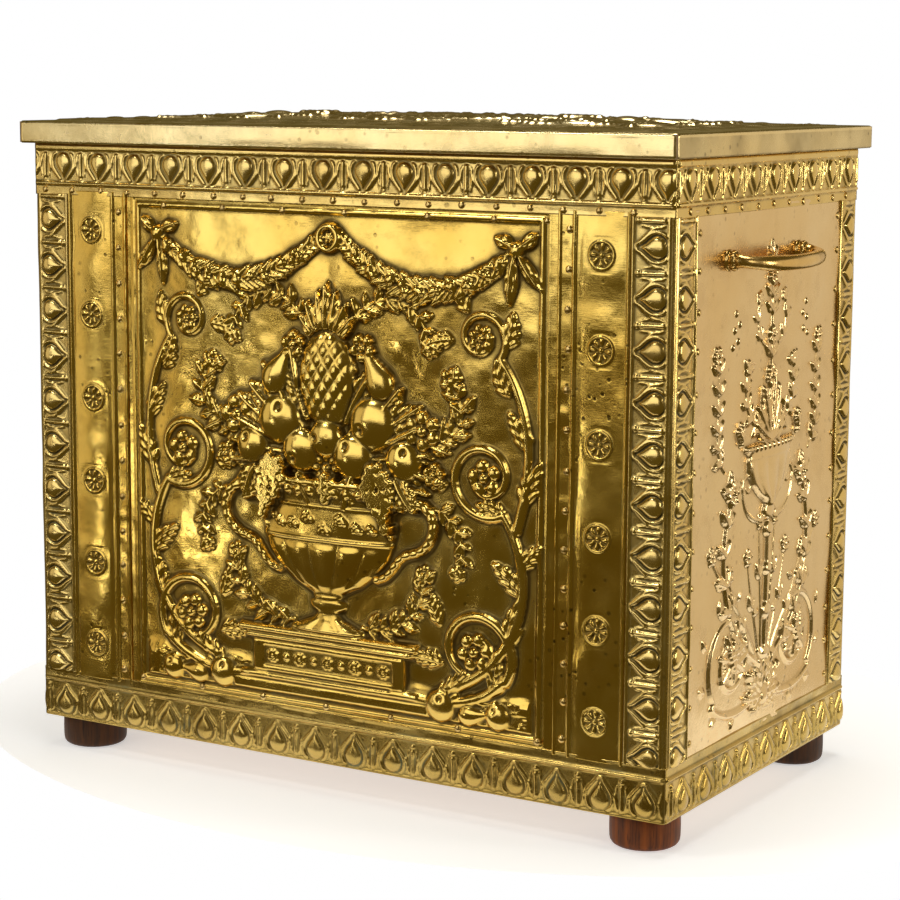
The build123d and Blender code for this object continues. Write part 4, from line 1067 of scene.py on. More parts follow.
        # arms under the cup and over it
        p = np.concatenate([bez((cx + m * 5, 196), (cx + m * 24, 190), (cx + m * 46, 202), (cx + m * 44, 220), 26), arc(cx + m * 36, 222, 9, 3, -10 if m > 0 else 190, 330 if m > 0 else -150, 40)])
        c.tube(p, 1.8, 1.2, 2.0, 1.4, lift=0.2)
        p = bez((cx + m * 8, 262), (cx + m * 34, 262), (cx + m * 48, 284), (cx + m * 40, 306), 30)
        c.tube(p, 1.7, 1.1, 2.0, 1.3, lift=0.2)
        for k in range(5, 30, 6):
            d = p[min(k + 1, 29)] - p[k - 1]
            a = math.atan2(d[1], d[0])
            for sg in (-1, 1):
                c.stamp(p[k][0], p[k][1], 14, leaf(12, 3.6, 2.2, 0.1 * sg, 0, 0, 4), rot=a + sg * 0.8, lift=0.2)
        c.stamp(p[-1][0], p[-1][1] + 3, 8, flower(6.5, 5, 3.0), lift=0.5)
        grapes(c, cx + m * 50, 268, 18, 9, 3.8, math.radians(-90), 31 + m, lift=0.6, r=2.3)
        p = bez((cx + m * 4, 322), (cx + m * 22, 322), (cx + m * 30, 340), (cx + m * 22, 356), 24)
        c.tube(p, 1.4, 1.0, 1.7, 1.2, lift=0.2)
        c.stamp(p[-1][0], p[-1][1] + 2, 8, flower(5.6, 5, 2.6), lift=0.4)
        for k in (8, 16):
            c.stamp(p[k][0], p[k][1], 14, leaf(11, 3.2, 2.0, 0.1, 0, 0, 4), rot=math.radians(30 if m > 0 else 150), lift=0.2)
            c.stamp(p[k][0], p[k][1], 14, leaf(10, 3.0, 2.0, 0.1, 0, 0, 4), rot=math.radians(100 if m > 0 else 80), lift=0.2)
    both(scroll)
    # stem with knops
    c.tube([(cx, 64), (cx, 200)], 2.4, 2.0, 2.8, 2.4, lift=0.3)
    for y, r in ((92, 5.5), (124, 6.5), (156, 5.0), (186, 6.0), (200, 7.5)):
        c.stamp(cx, y, r * 1.5 + 2, dome(r, 3.6, sx=1.35), lift=0.8)
    # cup with gadroons and a beaded rim
    w = c.win(cx, 228, 46)
    X, Y = c.U[w] - cx, c.V[w]
    W = np.interp(Y, [204, 208, 214, 222, 232, 240, 243, 248, 252], [6, 9, 20, 30, 36, 37, 35, 41, 42])
    a = np.abs(X) / W
    ins = (a < 1) & (Y > 204) & (Y < 252)
    phi = np.arcsin(np.clip(X / W, -1, 1))
    hh = 1.2 + 4.4 * np.sqrt(np.clip(1 - a * a, 0, 1)) + 0.9 * np.abs(np.cos(phi * 6)) * smooth(206, 212, Y) * smooth(241, 236, Y)
    hh += rib_profile(Y - 242, 1.2, 1.0)
    c.h[w] = np.where(ins, np.maximum(c.bg[w] + hh, c.h[w]), c.h[w])
    for k in range(-8, 9):
        ph = k / 8.6 * math.pi / 2
        c.stamp(cx + 41 * math.sin(ph), 249, 4, dome(2.2, 1.6), lift=1.4 + 4.4 * math.cos(ph))
    # what stands in the cup: upright leaves, a mound, sprigs above
    for ang, ln in ((90, 56), (66, 44), (114, 44), (44, 36), (136, 36), (24, 30), (156, 30)):
        c.stamp(cx, 252, ln + 4, leaf(ln, 7.5, 3.4, 0.10 * (1 if ang < 90 else -1), 5, 0.22, 5), rot=math.radians(ang), lift=0.6)
    c.tube([(cx, 290), (cx, 372)], 1.8, 1.2, 2.2, 1.5, lift=0.3)
    for y, R, n in ((300, 9, 6), (330, 7.5, 5), (374, 8.0, 6)):
        c.stamp(cx, y, R + 2, flower(R, n, 3.6), rot=0.26, lift=0.9)
    for y in (314, 346, 358):
        for sg in (-1, 1):
            c.stamp(cx, y, 18, leaf(15, 4.2, 2.6, 0.12 * sg, 4, 0.2, 4), rot=math.radians(90 + sg * 48), lift=0.3)
    for ang, ln in ((90, 18), (60, 15), (120, 15)):
        c.stamp(cx, 382, ln + 3, leaf(ln, 3.6, 2.4, 0, 0, 0, 4), rot=math.radians(ang), lift=0.3)
    h = c.bg + 0.92 * (blur(c.h, 0.7) - c.bg)
    # quiet round the handle collars, so that they bed flat
    for y in (86.0, 208.5):
        y = y if seed == 500 else 320 - y
        r = np.sqrt((U - y) ** 2 + (V - 388.5) ** 2)
        h = h + (0.9 - h) * smooth(20, 7, r)
    c.h = np.clip(h, -0.4, 9) * smooth(0, 3, np.minimum(U - 26, 294 - U)) + 0.0
    return c


for nm, fn, sx, seed in (("right", on_right, 1, 500), ("left", on_left, -1, 530)):
    c = side_relief(seed)
    CAN["side", nm] = c
    ob = sheet_mesh(nm + "_ornament_sheet", fn(c, base=-T), back_to(0, sx * (XS - 2 * T)), cavity(c.h, c.pitch, 1.2, 4.0) * 0.6)
    finish_piece(ob, M_side, "box", "side_sheet_brass", nm + "_side_sheet")

# back: plain, hand-flattened sheet with a raised frame
c = Canvas(-262, 262, 36, 426, 1.6)
U, V = c.U, c.V
e = np.maximum(np.abs(U) - 214, np.abs(V - 231) - 160)
c.h = 0.7 + 0.9 * fbm(U, V, 90, 600, 3) + 0.14 * vnoise(U, V, 12, 605) + rib_profile(e, 2.6, 2.0) + 0.9 * smooth(0, -30, e)
c.h = np.clip(c.h * smooth(0, 6, 262 - np.abs(U)), -0.3, 6)
CAN["side", "back"] = c
ob = sheet_mesh("plain_back_sheet", on_back(c, base=-T), back_to(1, YB - 2 * T), cavity(c.h, c.pitch, 1.6, 5.0))
finish_piece(ob, M_side, "box", "side_sheet_brass", "back_sheet")


# ===================================================================== lid
def lid_relief():
    u_edge = np.array([0, 0.12, 0.45, 1.0, 1.7, 2.5, 3.4, 4.6])

    def axis(half, pitch):
        inner = half - 4.6
        n = int(round(2 * inner / pitch))
        mid = np.linspace(-inner, inner, n + 1)
        return np.concatenate([-half + u_edge[:-1], mid, (half - u_edge[:-1])[::-1]])
    c = Canvas(-LIDX, LIDX, -LIDY, LIDY, 2.0)
    c.u, c.v = axis(LIDX, 1.0), axis(LIDY, 1.0)
    c.pitch = 1.0
    c.U, c.V = np.meshgrid(c.u, c.v)
    U, V = c.U, c.V
    ex, ey = LIDX - np.abs(U), LIDY - np.abs(V)
    e = np.minimum(ex, ey)
    bg = 0.5 * fbm(U, V, 80, 700, 2) * smooth(3, 20, e) + 0.03 * vnoise(U, V, 9, 704)
    crown = 4.4 * np.clip(1 - (U / 290) ** 2, 0, 1) ** 1.2 * np.clip(1 - (V / 176) ** 2, 0, 1)
    bg = bg + 0.22 * vnoise(U, V, 19, 705) * smooth(26, 18, e)
    c.set_bg(bg)
    # border of eggs and darts round the lid, mitred at rosettes
    rib = rib_profile(e - 22.5, 1.7, 2.0) + rib_profile(e - 53.5, 1.8, 2.2) + rib_profile(e - 58.0, 1.1, 1.0)
    c.h = c.h + rib
    runx = ey < ex
    along = np.where(runx, U, V)
    pitch = np.where(runx, 35.07, 34.9)
    lim = np.where(runx, LIDX - 55.5, LIDY - 55.5)
    ok = (e > 24.5) & (e < 51.5) & (np.abs(along) < lim)
    eg = egg_and_dart(along, 51.0 - e, 35.0) * smooth(24.5, 26, e) * smooth(51.8, 50.6, e) * smooth(lim, lim - 2, np.abs(along))
    c.h = np.where(ok, c.h + eg, c.h)
    for sx in (-1, 1):
        for sy in (-1, 1):
            c.stamp(sx * (LIDX - 38), sy * (LIDY - 38), 15, ring(12.5, 1.3, 1.8), lift=0.2)
            c.stamp(sx * (LIDX - 38), sy * (LIDY - 38), 12, flower(10.5, 8, 3.2), lift=0.4)
    # oval wreath and sunflower in the middle
    t = np.linspace(0, 2 * np.pi, 64, endpoint=False)
    rs = np.random.RandomState(9)
    for k, a in enumerate(t):
        x, y = 84 * math.cos(a), 62 * math.sin(a)
        ta = math.atan2(62 * math.cos(a), -84 * math.sin(a))
        for sg in (-1, 1):
            c.stamp(x, y, 20, leaf(16, 4.6, 3.4, 0.0, 0, 0, 4.5), rot=ta + sg * (0.55 + rs.uniform(-0.1, 0.1)), lift=0.8)
    for k, a in enumerate(t[::2]):
        for q in range(2):
            c.stamp(84 * math.cos(a) + rs.uniform(-4, 4), 62 * math.sin(a) + rs.uniform(-4, 4), 5, dome(3.4, 2.8), lift=3.6)
    c.stamp(0, 0, 50, flower(44, 16, 5.2, core=0.42, gap=0.4), lift=1.0)
    w = c.win(0, 0, 20)
    X, Y = c.U[w], c.V[w]
    r = np.sqrt(X * X + Y * Y)
    seed_l = np.abs(np.sin(X * 0.72 + Y * 0.42)) * np.abs(np.sin(X * 0.42 - Y * 0.72))
    c.h[w] += np.where(r < 17.5, 1.3 * seed_l, 0)
    # scrolls to both ends, and fruit
    for sx in (-1, 1):
        for sy in (-1, 1):
            def F(p):
                p = np.array(p, float)
                p[:, 0] *= sx
                p[:, 1] *= sy
                return p
            s1 = np.concatenate([bez((92, 6), (120, 0), (150, 10), (172, 28), 30), arc(148, 52, 33, 9, -45, 440, 120)])
            c.tube(F(s1), 4.6, 2.4, 5.0, 3.2, lift=0.8)
            s2 = np.concatenate([bez((120, 4), (160, -6), (196, 16), (212, 36), 30), arc(200, 52, 19, 6, -50, 400, 90)])
            c.tube(F(s2), 3.6, 2.0, 4.2, 2.8, lift=0.5)
            for (x, y, ang, ln, wd) in ((112, 4, 62, 34, 9), (138, 8, 36, 28, 8), (170, 24, 20, 30, 8), (180, 60, 96, 26, 8), (150, 86, 150, 30, 8),
                                        (116, 66, 120, 26, 8), (196, 76, 40, 24, 7), (206, 16, 10, 22, 7), (118, 36, 150, 22, 7)):
                a = math.atan2(sy * math.sin(math.radians(ang)), sx * math.cos(math.radians(ang)))
                c.stamp(sx * x, sy * y, ln + 4, acanthus(ln, wd, 4.8, 0.2, 4), rot=a, mirror=(sx * sy < 0), lift=0.8)
            c.stamp(sx * 148, sy * 52, 17, flower(15, 6, 6.0), rot=0.3, lift=1.4)
            c.stamp(sx * 200, sy * 52, 11, flower(9, 5, 4.4), rot=0.3, lift=1.0)
        grapes(c, sx * 104, 0, 40, 17, 6.8, 0 if sx > 0 else math.pi, 55 + sx, lift=2.6, r=4.2)
        c.stamp(sx * 160, 0, 14, apple(12.5, 7.2), lift=1.8)
        c.stamp(sx * 186, 0, 30, pear(9, 6.0), rot=0 if sx > 0 else math.pi, lift=1.4)
    for sy in (-1, 1):
        for x in (-34, 0, 34):
            c.stamp(x, sy * 88, 14, flower(11 if x == 0 else 8.5, 6, 4.6), rot=0.1 * x, lift=1.2)
            for sg in (-1, 1):
                c.stamp(x, sy * 88, 26, leaf(22, 6.0, 3.2, 0.1 * sg, 5, 0.25, 5), rot=(0.25 if sg > 0 else math.pi - 0.25) * 1.0, lift=0.6)
    h = c.bg + 0.50 * (blur(c.h, 0.8) - c.bg) + 1.15 * crown
    h = np.clip(h, -0.4, 10.5)
    R = 2.3
    d = np.clip(e, 0, R)
    drop = R - np.sqrt(np.clip(R * R - (R - d) ** 2, 0, None))
    h = h * smooth(0.0, 8.0, e)
    z = LIDTOP + h - drop
    # corners rounded in plan
    RC = 4.0
    x, y = U.copy(), V.copy()
    ax, ay = np.abs(x) - (LIDX - RC), np.abs(y) - (LIDY - RC)
    cornr = (ax > 0) & (ay > 0)
    rr = np.sqrt(ax ** 2 + ay ** 2) + 1e-6
    k = np.where(cornr & (rr > 0), np.maximum(ax, ay) / rr, 1.0)
    x = np.where(cornr, np.sign(x) * (LIDX - RC + ax * k), x)
    y = np.where(cornr, np.sign(y) * (LIDY - RC + ay * k), y)
    P = np.stack([x, y, z], -1)
    return c, P, h


c, P, lid_h = lid_relief()
nv, nu = P.shape[:2]
verts = [P.reshape(-1, 3)]
quads = [grid_faces(nv, nu)]
ids = loop_ids(nv, nu)
m = len(ids)
loop = P.reshape(-1, 3)[ids]
perim = np.concatenate([[0], np.cumsum(np.sqrt(((loop[1:, :2] - loop[:-1, :2]) ** 2).sum(1)))])
# outward direction of each rim point
ctr = np.stack([np.clip(loop[:, 0], -(LIDX - 4.0), LIDX - 4.0), np.clip(loop[:, 1], -(LIDY - 4.0), LIDY - 4.0)], 1)
nrm = loop[:, :2] - ctr
nrm /= np.linalg.norm(nrm, axis=1, keepdims=True) + 1e-9
skirt_top = LIDTOP - 2.3
rows = list(np.linspace(1.0, skirt_top - LIDZ0 - 0.9, 14)) + [skirt_top - LIDZ0 - 0.35, skirt_top - LIDZ0 + 0.1]
prev = ids
nbase = nv * nu
lid_cav_and_painted_shade = [cavity(lid_h, 1.0, 1.6, 5.0).ravel()]
L = perim[-1]
for k, dz in enumerate(rows):
    zz = skirt_top - dz
    t = dz / rows[-1]
    wav = 0.55 * vnoise(perim, perim * 0 + dz * 1.3, 62, 801) + 0.26 * vnoise(perim, perim * 0 + dz * 1.2, 27, 802) + 0.03 * vnoise(perim, perim * 0 + dz * 2, 11, 803)
    blend = smooth(0, 60, np.minimum(perim, L - perim))
    wav = wav * blend
    belly = 0.5 * math.sin(math.pi * t)
    off = (wav - 0.35) * math.sin(math.pi * min(1, 0.08 + t)) ** 0.8 * 0.75 + belly - 1.0 * max(0, t - 0.93) * 14 * 0.5
    off = np.minimum(off, 0.9)
    ring_p = np.stack([loop[:, 0] + nrm[:, 0] * off, loop[:, 1] + nrm[:, 1] * off, np.full(m, zz)], 1)
    cur = nbase + np.arange(m)
    verts.append(ring_p)
    quads.append(np.stack([prev, cur, np.roll(cur, -1), np.roll(prev, -1)], -1))
    # Colour darkening on the skirt: deeper where it is dented in and on its two lowest rows; the term in nrm x is
    # painted shade, making the skirt that faces +x darker as if less lit.
    lid_cav_and_painted_shade.append(np.clip(-off * 0.15, -0.3, 0.3) + (0.25 if k >= len(rows) - 2 else 0) + (0.42 + 0.16 * vnoise(perim, perim * 0 + 3.0, 24, 811)) * smooth(0.3, 0.8, nrm[:, 0]))
    prev = cur
    nbase += m
# the lip, turned in under the board, then up against it
for inset, zz in ((0.9, LIDZ0 - 0.55), (2.6, LIDZ0 - 0.55), (4.4, LIDZ0 - 0.5), (4.6, LIDZ0 + 0.0)):
    s_x, s_y = (LIDX - inset) / LIDX, (LIDY - inset) / LIDY
    ring_p = np.stack([loop[:, 0] - nrm[:, 0] * inset, loop[:, 1] - nrm[:, 1] * inset, np.full(m, zz)], 1)
    cur = nbase + np.arange(m)
    verts.append(ring_p)
    quads.append(np.stack([prev, cur, np.roll(cur, -1), np.roll(prev, -1)], -1))
    lid_cav_and_painted_shade.append(np.full(m, 0.3))
    prev = cur
    nbase += m
# inside of the sheet, on the board's sides and top
for inset, zz in ((T + 0.02, LIDZ0 + 0.2), (T + 0.02, LIDTOP - T - 0.05)):
    ring_p = np.stack([loop[:, 0] - nrm[:, 0] * inset, loop[:, 1] - nrm[:, 1] * inset, np.full(m, zz)], 1)
    cur = nbase + np.arange(m)
    verts.append(ring_p)
    quads.append(np.stack([prev, cur, np.roll(cur, -1), np.roll(prev, -1)], -1))
    lid_cav_and_painted_shade.append(np.zeros(m))
    prev = cur
    nbase += m
verts.append(np.array([[0.0, 0.0, LIDTOP - T - 0.05]]))
tris = np.stack([prev, np.full(m, nbase), np.roll(prev, -1)], -1)
lid_cav_and_painted_shade.append(np.zeros(1))
lid = make_mesh("lid_cover", np.concatenate(verts), np.concatenate(quads), tris, {"cav": np.concatenate(lid_cav_and_painted_shade)})
finish_piece(lid, M_lid, "lid", "lid_brass", "lid_sheet")


# ================================================================== nails
def height_at(c, u, v, base):
    i = int(np.clip(np.searchsorted(c.u, u), 1, len(c.u) - 1))
    j = int(np.clip(np.searchsorted(c.v, v), 1, len(c.v) - 1))
    return float(c.h[j, i]) + base


def nail_group(name, places, mat, replaced, seed):
    """places: (position, outward normal). Low domes with a rolled edge."""
    rs = np.random.RandomState(seed)
    prof = [(0.0, 1.0), (0.34, 0.93), (0.62, 0.74), (0.84, 0.44), (0.97, 0.12), (1.0, -0.12), (0.93, -0.34)]
    nseg = 14
    V, Q, Tt = [], [], []
    for pos, n in places:
        n = np.array(n, float)
        t1 = np.cross(n, (0, 0, 1.0))
        t1 /= np.linalg.norm(t1)
        t2 = np.cross(n, t1)
        r = 2.9 * rs.uniform(0.92, 1.06)
        hgt = 1.45 * rs.uniform(0.85, 1.1)
        tilt = rs.uniform(-0.09, 0.09, 2)
        base = len(V)
        centre = np.array(pos) + n * (hgt * prof[0][1])
        V.append(centre)
        for rr, hh in prof[1:]:
            for k in range(nseg):
                a = 2 * math.pi * k / nseg
                d = math.cos(a) * t1 + math.sin(a) * t2
                V.append(np.array(pos) + d * r * rr + n * (hgt * hh + (tilt[0] * math.cos(a) + tilt[1] * math.sin(a)) * r * rr))
        for k in range(nseg):
            Tt.append((base, base + 1 + k, base + 1 + (k + 1) % nseg))
        for ringi in range(len(prof) - 2):
            a0, b0 = base + 1 + ringi * nseg, base + 1 + (ringi + 1) * nseg
            for k in range(nseg):
                Q.append((a0 + k, b0 + k, b0 + (k + 1) % nseg, a0 + (k + 1) % nseg))
        last = base + 1 + (len(prof) - 2) * nseg
        V.append(np.array(pos) - n * 1.2)
        for k in range(nseg):
            Tt.append((len(V) - 1, last + (k + 1) % nseg, last + k))
    ob = make_mesh(name, np.array(V), np.array(Q), np.array(Tt))
    return finish_piece(ob, mat, "box", "nail_brass", replaced)


row_x = [3.0 + 27.3 * k for k in range(-10, 11) if abs(3.0 + 27.3 * k) < 272]
col_z = [48.0 + 27.92 * k for k in range(14)]
rs = np.random.RandomState(3)
fp = []
for x in row_x:
    x += rs.uniform(-1.2, 1.2)
    z = 425.0 + rs.uniform(-0.6, 0.6)
    fp.append(((x, YF - height_at(CAN["top", "front"], x, z, 0), Z0 + z), (0, -1, 0)))
for sx in (-1, 1):
    for z in col_z:
        z += rs.uniform(-1.5, 1.5)
        x = sx * (198.0 + rs.uniform(-0.8, 0.8))
        fp.append(((x, YF + T - height_at(CAN_ROS[sx], x, z, 0), Z0 + z), (0, -1, 0)))
for z0_, xs_ in ((416.5, (-152, -97, -42, 13, 84, 139, 181)), (44.5, (-178, -120, -62, -4, 54, 112, 178))):
    for x in xs_:
        fp.append(((x, YF + T - height_at(CAN_PIC, x, z0_, 0), Z0 + z0_), (0, -1, 0)))
nail_group("nail_heads_front", fp, M_nail, "front_nails", 1)
bp_ = []
for x in row_x:
    z = 425.0 + rs.uniform(-0.6, 0.6)
    bp_.append(((x, YB + height_at(CAN["top", "back"], -x, z, 0), Z0 + z), (0, 1, 0)))
for sx in (-1, 1):
    for z in col_z:
        x = sx * 239.0
        z += rs.uniform(-1.5, 1.5)
        bp_.append(((x, YB - T + height_at(CAN["side", "back"], -x, z, 0), Z0 + z), (0, 1, 0)))
nail_group("nail_heads_back", bp_, M_nail, "back_nails", 2)
for nm, sx in (("right", 1), ("left", -1)):
    sp = []
    for k in range(11):
        y = 22.0 + 27.6 * k + rs.uniform(-1, 1)
        z = 425.0 + rs.uniform(-0.6, 0.6)
        uu = y if sx > 0 else 320 - y
        sp.append(((sx * (XS + height_at(CAN["top", nm], uu, z, 0)), YF + y, Z0 + z), (sx, 0, 0)))
    for y in (38.0, 320 - 38.0):
        for z in col_z:
            z += rs.uniform(-1.5, 1.5)
            uu = y if sx > 0 else 320 - y
            sp.append(((sx * (XS - T + height_at(CAN["side", nm], uu, z, 0)), YF + y, Z0 + z), (sx, 0, 0)))
    nail_group("nail_heads_" + nm, sp, M_nail, nm + "_nails", 3 + (sx > 0))


# ================================================================ handles
def tube_mesh(path, radii, nseg=20):
    path = np.asarray(path, float)
    n = len(path)
    tan = np.gradient(path, axis=0)
    tan /= np.linalg.norm(tan, axis=1, keepdims=True)
    V = []
    for k in range(n):
        t = tan[k]
        up = np.array([0, 0, 1.0])
        s = np.cross(t, up)
        s /= np.linalg.norm(s)
        for q in range(nseg):
            a = 2 * math.pi * q / nseg
            V.append(path[k] + radii[k] * (math.cos(a) * s + math.sin(a) * up))
    Q = []
    for k in range(n - 1):
        for q in range(nseg):
            Q.append((k * nseg + q, k * nseg + (q + 1) % nseg, (k + 1) * nseg + (q + 1) % nseg, (k + 1) * nseg + q))
    base = len(V)
    V += [path[0] - tan[0] * 0.01, path[-1] + tan[-1] * 0.01]
    Tt = [(base, (q + 1) % nseg, q) for q in range(nseg)]
    e0 = (n - 1) * nseg
    Tt += [(base + 1, e0 + q, e0 + (q + 1) % nseg) for q in range(nseg)]
    return np.array(V), np.array(Q), np.array(Tt)


for nm, sx in (("right", 1), ("left", -1)):
    ang = np.linspace(0, math.pi, 44)
    arcp = np.stack([289.0 + 21.0 * np.sin(ang), (HY1 + HY2) / 2 - (HY2 - HY1) / 2 * np.cos(ang), HZ - 3.0 * np.sin(ang)], 1)
    neck = lambda y: np.array([(286.6, y, HZ), (287.8, y, HZ)])
    pts = np.concatenate([neck(HY1), arcp, neck(HY2)[::-1]])
    seg = np.concatenate([[0], np.cumsum(np.sqrt(((pts[1:] - pts[:-1]) ** 2).sum(1)))])
    tt = seg / seg[-1]
    end = np.minimum(tt, 1 - tt) * seg[-1]
    rad = 4.5 + 0.9 * smooth(6, 0, end) + 1.0 * smooth(8, 34, end)
    path = np.stack([sx * pts[:, 0], pts[:, 1], pts[:, 2]], 1)
    V, Q, Tt = tube_mesh(path, rad, 24)
    if sx < 0:
        Q, Tt = Q[:, ::-1], Tt[:, ::-1]
    ob = make_mesh(nm + "_handle_bar", V, Q[:, ::-1], Tt[:, ::-1])
    finish_piece(ob, M_handle, "box", "handle_brass", nm + "_handle_bow")
    # gadrooned collars
    V, Q, Tt = [], [], []
    for hy in (HY1, HY2):
        prof = [(0.0, 279.2), (7.6, 279.2), (8.0, 279.9), (7.9, 280.7), (7.0, 281.2), (6.7, 281.8), (7.3, 282.8), (7.6, 284.0), (7.2, 285.4), (6.4, 286.5), (5.2, 287.2), (4.0, 287.5), (0.0, 287.5)]
        ns = 48
        base = len(V)
        for r, x in prof:
            for q in range(ns):
                a = 2 * math.pi * q / ns
                lob = 1 - 0.13 * (0.5 - 0.5 * math.cos(12 * a)) * (1 if 281.4 < x < 287.3 else 0)
                V.append((sx * x, hy + r * lob * math.cos(a), HZ + r * lob * math.sin(a)))
        for k in range(len(prof) - 1):
            for q in range(ns):
                f = (base + k * ns + q, base + k * ns + (q + 1) % ns, base + (k + 1) * ns + (q + 1) % ns, base + (k + 1) * ns + q)
                if k in (0, len(prof) - 2):
                    # collapse the poles to triangles
                    if k == 0:
                        Tt.append((base, f[3], f[2]) if False else (f[0], f[2], f[3]))
                    else:
                        Tt.append((f[0], f[1], f[2]))
                else:
                    Q.append(f)
    V = np.array(V)
    ob = make_mesh(nm + "_handle_collar_pair", V, np.array(Q) if sx > 0 else np.array(Q)[:, ::-1], np.array(Tt) if sx > 0 else np.array(Tt)[:, ::-1])
    import bmesh
    bm = bmesh.new()
    bm.from_mesh(ob.data)
    bmesh.ops.remove_doubles(bm, verts=bm.verts, dist=1e-6)
    bmesh.ops.recalc_face_normals(bm, faces=bm.faces)
    bm.to_mesh(ob.data)
    bm.free()
    finish_piece(ob, M_handle, "box", "handle_brass", nm + "_handle_collars")

# =================================================================== feet
# the two foot woods are lit and shaded copies of one wood: painted light
for nm, fx, fy, mat_, seed in (("front_left", -251.3, -133.7, M_painted_shade_foot, 11), ("front_right", 251.3, -133.7, M_painted_lit_foot, 12),
                               ("back_left", -251.3, 126.1, M_painted_shade_foot, 13), ("back_right", 251.3, 126.1, M_painted_shade_foot, 14)):
    prof = [(3.0, 0.0), (12.0, 0.0), (18.5, 0.15), (21.6, 0.7), (23.6, 1.9), (24.8, 3.7), (25.3, 6.2), (25.45, 10.0), (25.5, 15.0), (25.4, 20.0), (25.3, 24.6), (24.7, 25.4), (12.0, 25.5), (3.0, 25.5)]
    ns = 72
    rs = np.random.RandomState(seed)
    ph = rs.uniform(0, 6.28, 4)
    V = []
    for r, z in prof:
        for q in range(ns):
            a = 2 * math.pi * q / ns
            w = 1 + 0.004 * math.sin(2 * a + ph[0]) + 0.003 * math.sin(5 * a + ph[1] + z * 0.1) + 0.0015 * math.sin(17 * a + ph[2])
            V.append((fx + r * w * math.cos(a), fy + r * w * math.sin(a), z))
    Q = []
    n = len(prof)
    for k in range(n):
        k2 = (k + 1) % n
        for q in range(ns):
            q2 = (q + 1) % ns
            Q.append((k * ns + q, k * ns + q2, k2 * ns + q2, k2 * ns + q))
    ob = make_mesh(nm + "_turned_foot", np.array(V), np.array(Q))
    finish_piece(ob, mat_, "box", "foot_wood", nm + "_foot")

# ======================================================= carried-over nodes
for name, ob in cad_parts.items():
    if ob.hide_render:
        continue
    if name in ("front_board", "back_board", "lid_board", "bottom_board"):
        paint(ob, M_board)
    elif name in ("left_board", "right_board"):
        paint(ob, M_board_v)
    # painted light: the front right foot takes the lighter, lit copy of the foot wood
    elif name == "front_right_foot":
        paint(ob, M_painted_lit_foot)
    elif name.endswith("_foot"):
        paint(ob, M_painted_shade_foot)
    elif name in ("carcass_pins", "foot_screws") or name.endswith("_washers") or name.endswith("_nuts"):
        paint(ob, M_steel)
    elif "hinge" in name:
        paint(ob, M_hinge)
    else:
        paint(ob, M_handle)

# ==================================================== floor, light, camera
fl = bpy.data.meshes.new("floor")
ring_n = 128
fl.from_pydata([(0, 0, 0)] + [(0.47 * math.cos(2 * math.pi * k / ring_n), 0.085 + 0.36 * math.sin(2 * math.pi * k / ring_n), 0) for k in range(ring_n)],
               [], [(0, 1 + k, 1 + (k + 1) % ring_n) for k in range(ring_n)])
floor = bpy.data.objects.new("floor", fl)
bpy.context.scene.collection.objects.link(floor)
m, nt, bs = nodes_of("floor_pale")
tcf = node(nt, "ShaderNodeTexCoord").outputs["Object"]
fn_ = noise_node(nt, tcf, 3.0, 2.0)
nt.links.new(mix_rgb(nt, fn_, (0.86, 0.86, 0.85), (0.90, 0.90, 0.89)), bs.inputs["Base Color"])
bs.inputs["Roughness"].default_value = 0.85
bs.inputs["Specular IOR Level"].default_value = 0.1
bs.inputs["Emission Color"].default_value = (1, 1, 1, 1)
bs.inputs["Emission Strength"].default_value = 0.50
fl.materials.append(m)


def area(name, loc, target, sx, sy, power, color=(1, 1, 1)):
    ld = bpy.data.lights.new(name, "AREA")
    ld.shape = "RECTANGLE"
    ld.size, ld.size_y = sx, sy
    ld.energy = power
    ld.color = color
    o = bpy.data.objects.new(name, ld)
    o.location = loc
    d = Vector(target) - Vector(loc)
    o.rotation_euler = d.to_track_quat("-Z", "Y").to_euler()
    bpy.context.scene.collection.objects.link(o)
    return o


def panel(name, loc, target, sx, sy, radiance, color=(1, 1, 1)):
    """An area light given by how bright its face looks."""
    o = area(name, loc, target, sx, sy, radiance * sx * sy * 4, color)
    o.visible_camera = False
    return o


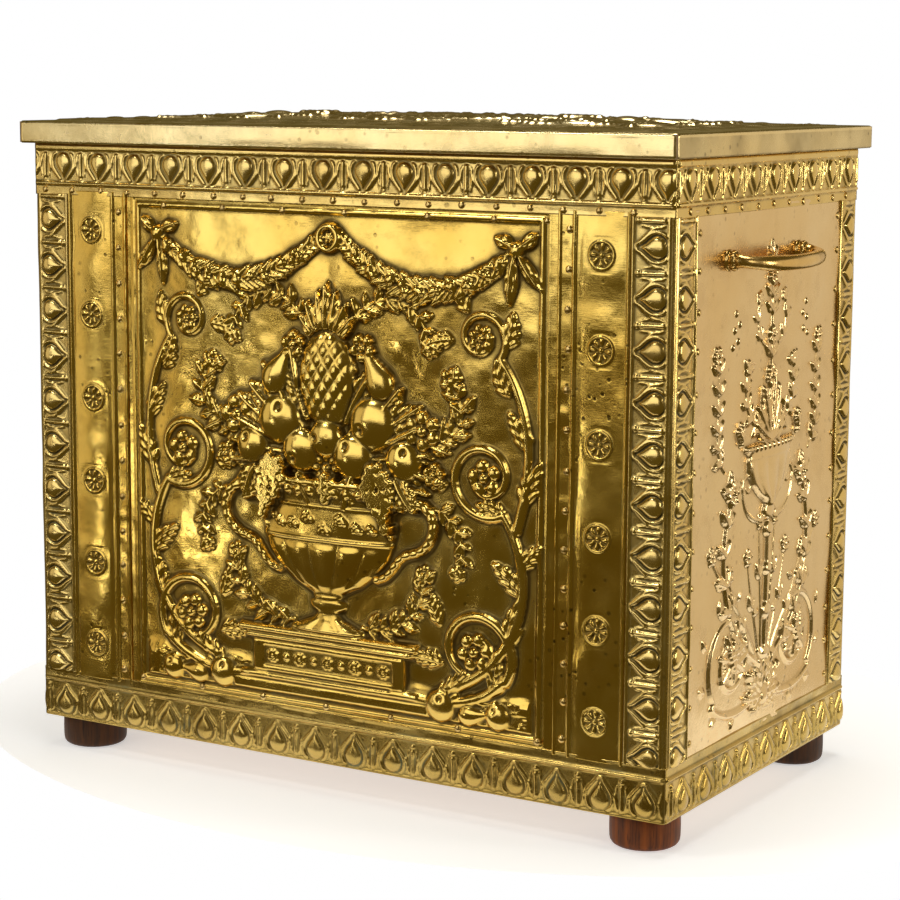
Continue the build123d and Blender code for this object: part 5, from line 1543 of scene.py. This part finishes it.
panel("key_front", (-0.50, -1.78, 0.75), (0.0, -0.16, 0.67), 1.65, 1.0, 1.05, (1.0, 0.985, 0.97))
panel("fill_left", (-1.62, -1.15, 0.40), (0.0, -0.16, 0.35), 0.75, 1.1, 0.50, (1.0, 0.90, 0.74))
panel("spark", (-0.9, -1.5, 1.9), (0, 0, 0.3), 0.5, 0.3, 11.0)
panel("spark_low", (-1.3, -1.7, -0.1), (0, -0.16, 0.25), 0.20, 0.14, 4.0)
panel("right_wall", (1.25, 1.55, 0.35), (0.28, 0.0, 0.3), 2.4, 1.9, 0.47, (1.0, 0.88, 0.72))
panel("top_soft", (0.1, 0.1, 2.2), (0, 0, 0.3), 1.2, 1.0, 5.0)
panel("right_spark", (1.95, 0.35, 0.55), (0.28, 0.0, 0.3), 0.22, 0.9, 7.0, (1.0, 0.96, 0.88))
panel("right_front", (1.7, -0.9, 0.9), (0.28, -0.1, 0.3), 0.6, 0.8, 2.2, (1.0, 0.97, 0.92))

world = bpy.data.worlds.new("studio")
bpy.context.scene.world = world
world.use_nodes = True
wn = world.node_tree
for n in list(wn.nodes):
    wn.nodes.remove(n)
wo = wn.nodes.new("ShaderNodeOutputWorld")
bg1 = wn.nodes.new("ShaderNodeBackground")
bg2 = wn.nodes.new("ShaderNodeBackground")
mx = wn.nodes.new("ShaderNodeMixShader")
lp = wn.nodes.new("ShaderNodeLightPath")
bg1.inputs[0].default_value = (0.112, 0.084, 0.018, 1)
bg1.inputs[1].default_value = 0.8
bg2.inputs[0].default_value = (1, 1, 1, 1)
bg2.inputs[1].default_value = 1.0
wn.links.new(lp.outputs["Is Camera Ray"], mx.inputs[0])
wn.links.new(bg1.outputs[0], mx.inputs[1])
wn.links.new(bg2.outputs[0], mx.inputs[2])
wn.links.new(mx.outputs[0], wo.inputs[0])

cam_d = bpy.data.cameras.new("camera")
cam_d.lens = 97.756
cam_d.sensor_width = 36.0
cam_d.clip_end = 50
cam = bpy.data.objects.new("camera", cam_d)
yaw, pitch, roll = -0.5451381695797566, 0.1535909990977508, 0.006026714819300195
f = Vector((math.sin(yaw) * math.cos(pitch), math.cos(yaw) * math.cos(pitch), -math.sin(pitch)))
r = Vector((math.cos(yaw), -math.sin(yaw), 0))
u = r.cross(f)
r2 = math.cos(roll) * r + math.sin(roll) * u
u2 = -math.sin(roll) * r + math.cos(roll) * u
mat = Matrix((( r2.x, u2.x, -f.x, 1.0040), (r2.y, u2.y, -f.y, -1.4849 - 0.1615), (r2.z, u2.z, -f.z, 0.5185 + 0.0255), (0, 0, 0, 1)))
cam.matrix_world = mat
bpy.context.scene.collection.objects.link(cam)
bpy.context.scene.camera = cam
bpy.context.scene.view_settings.view_transform = "Standard"
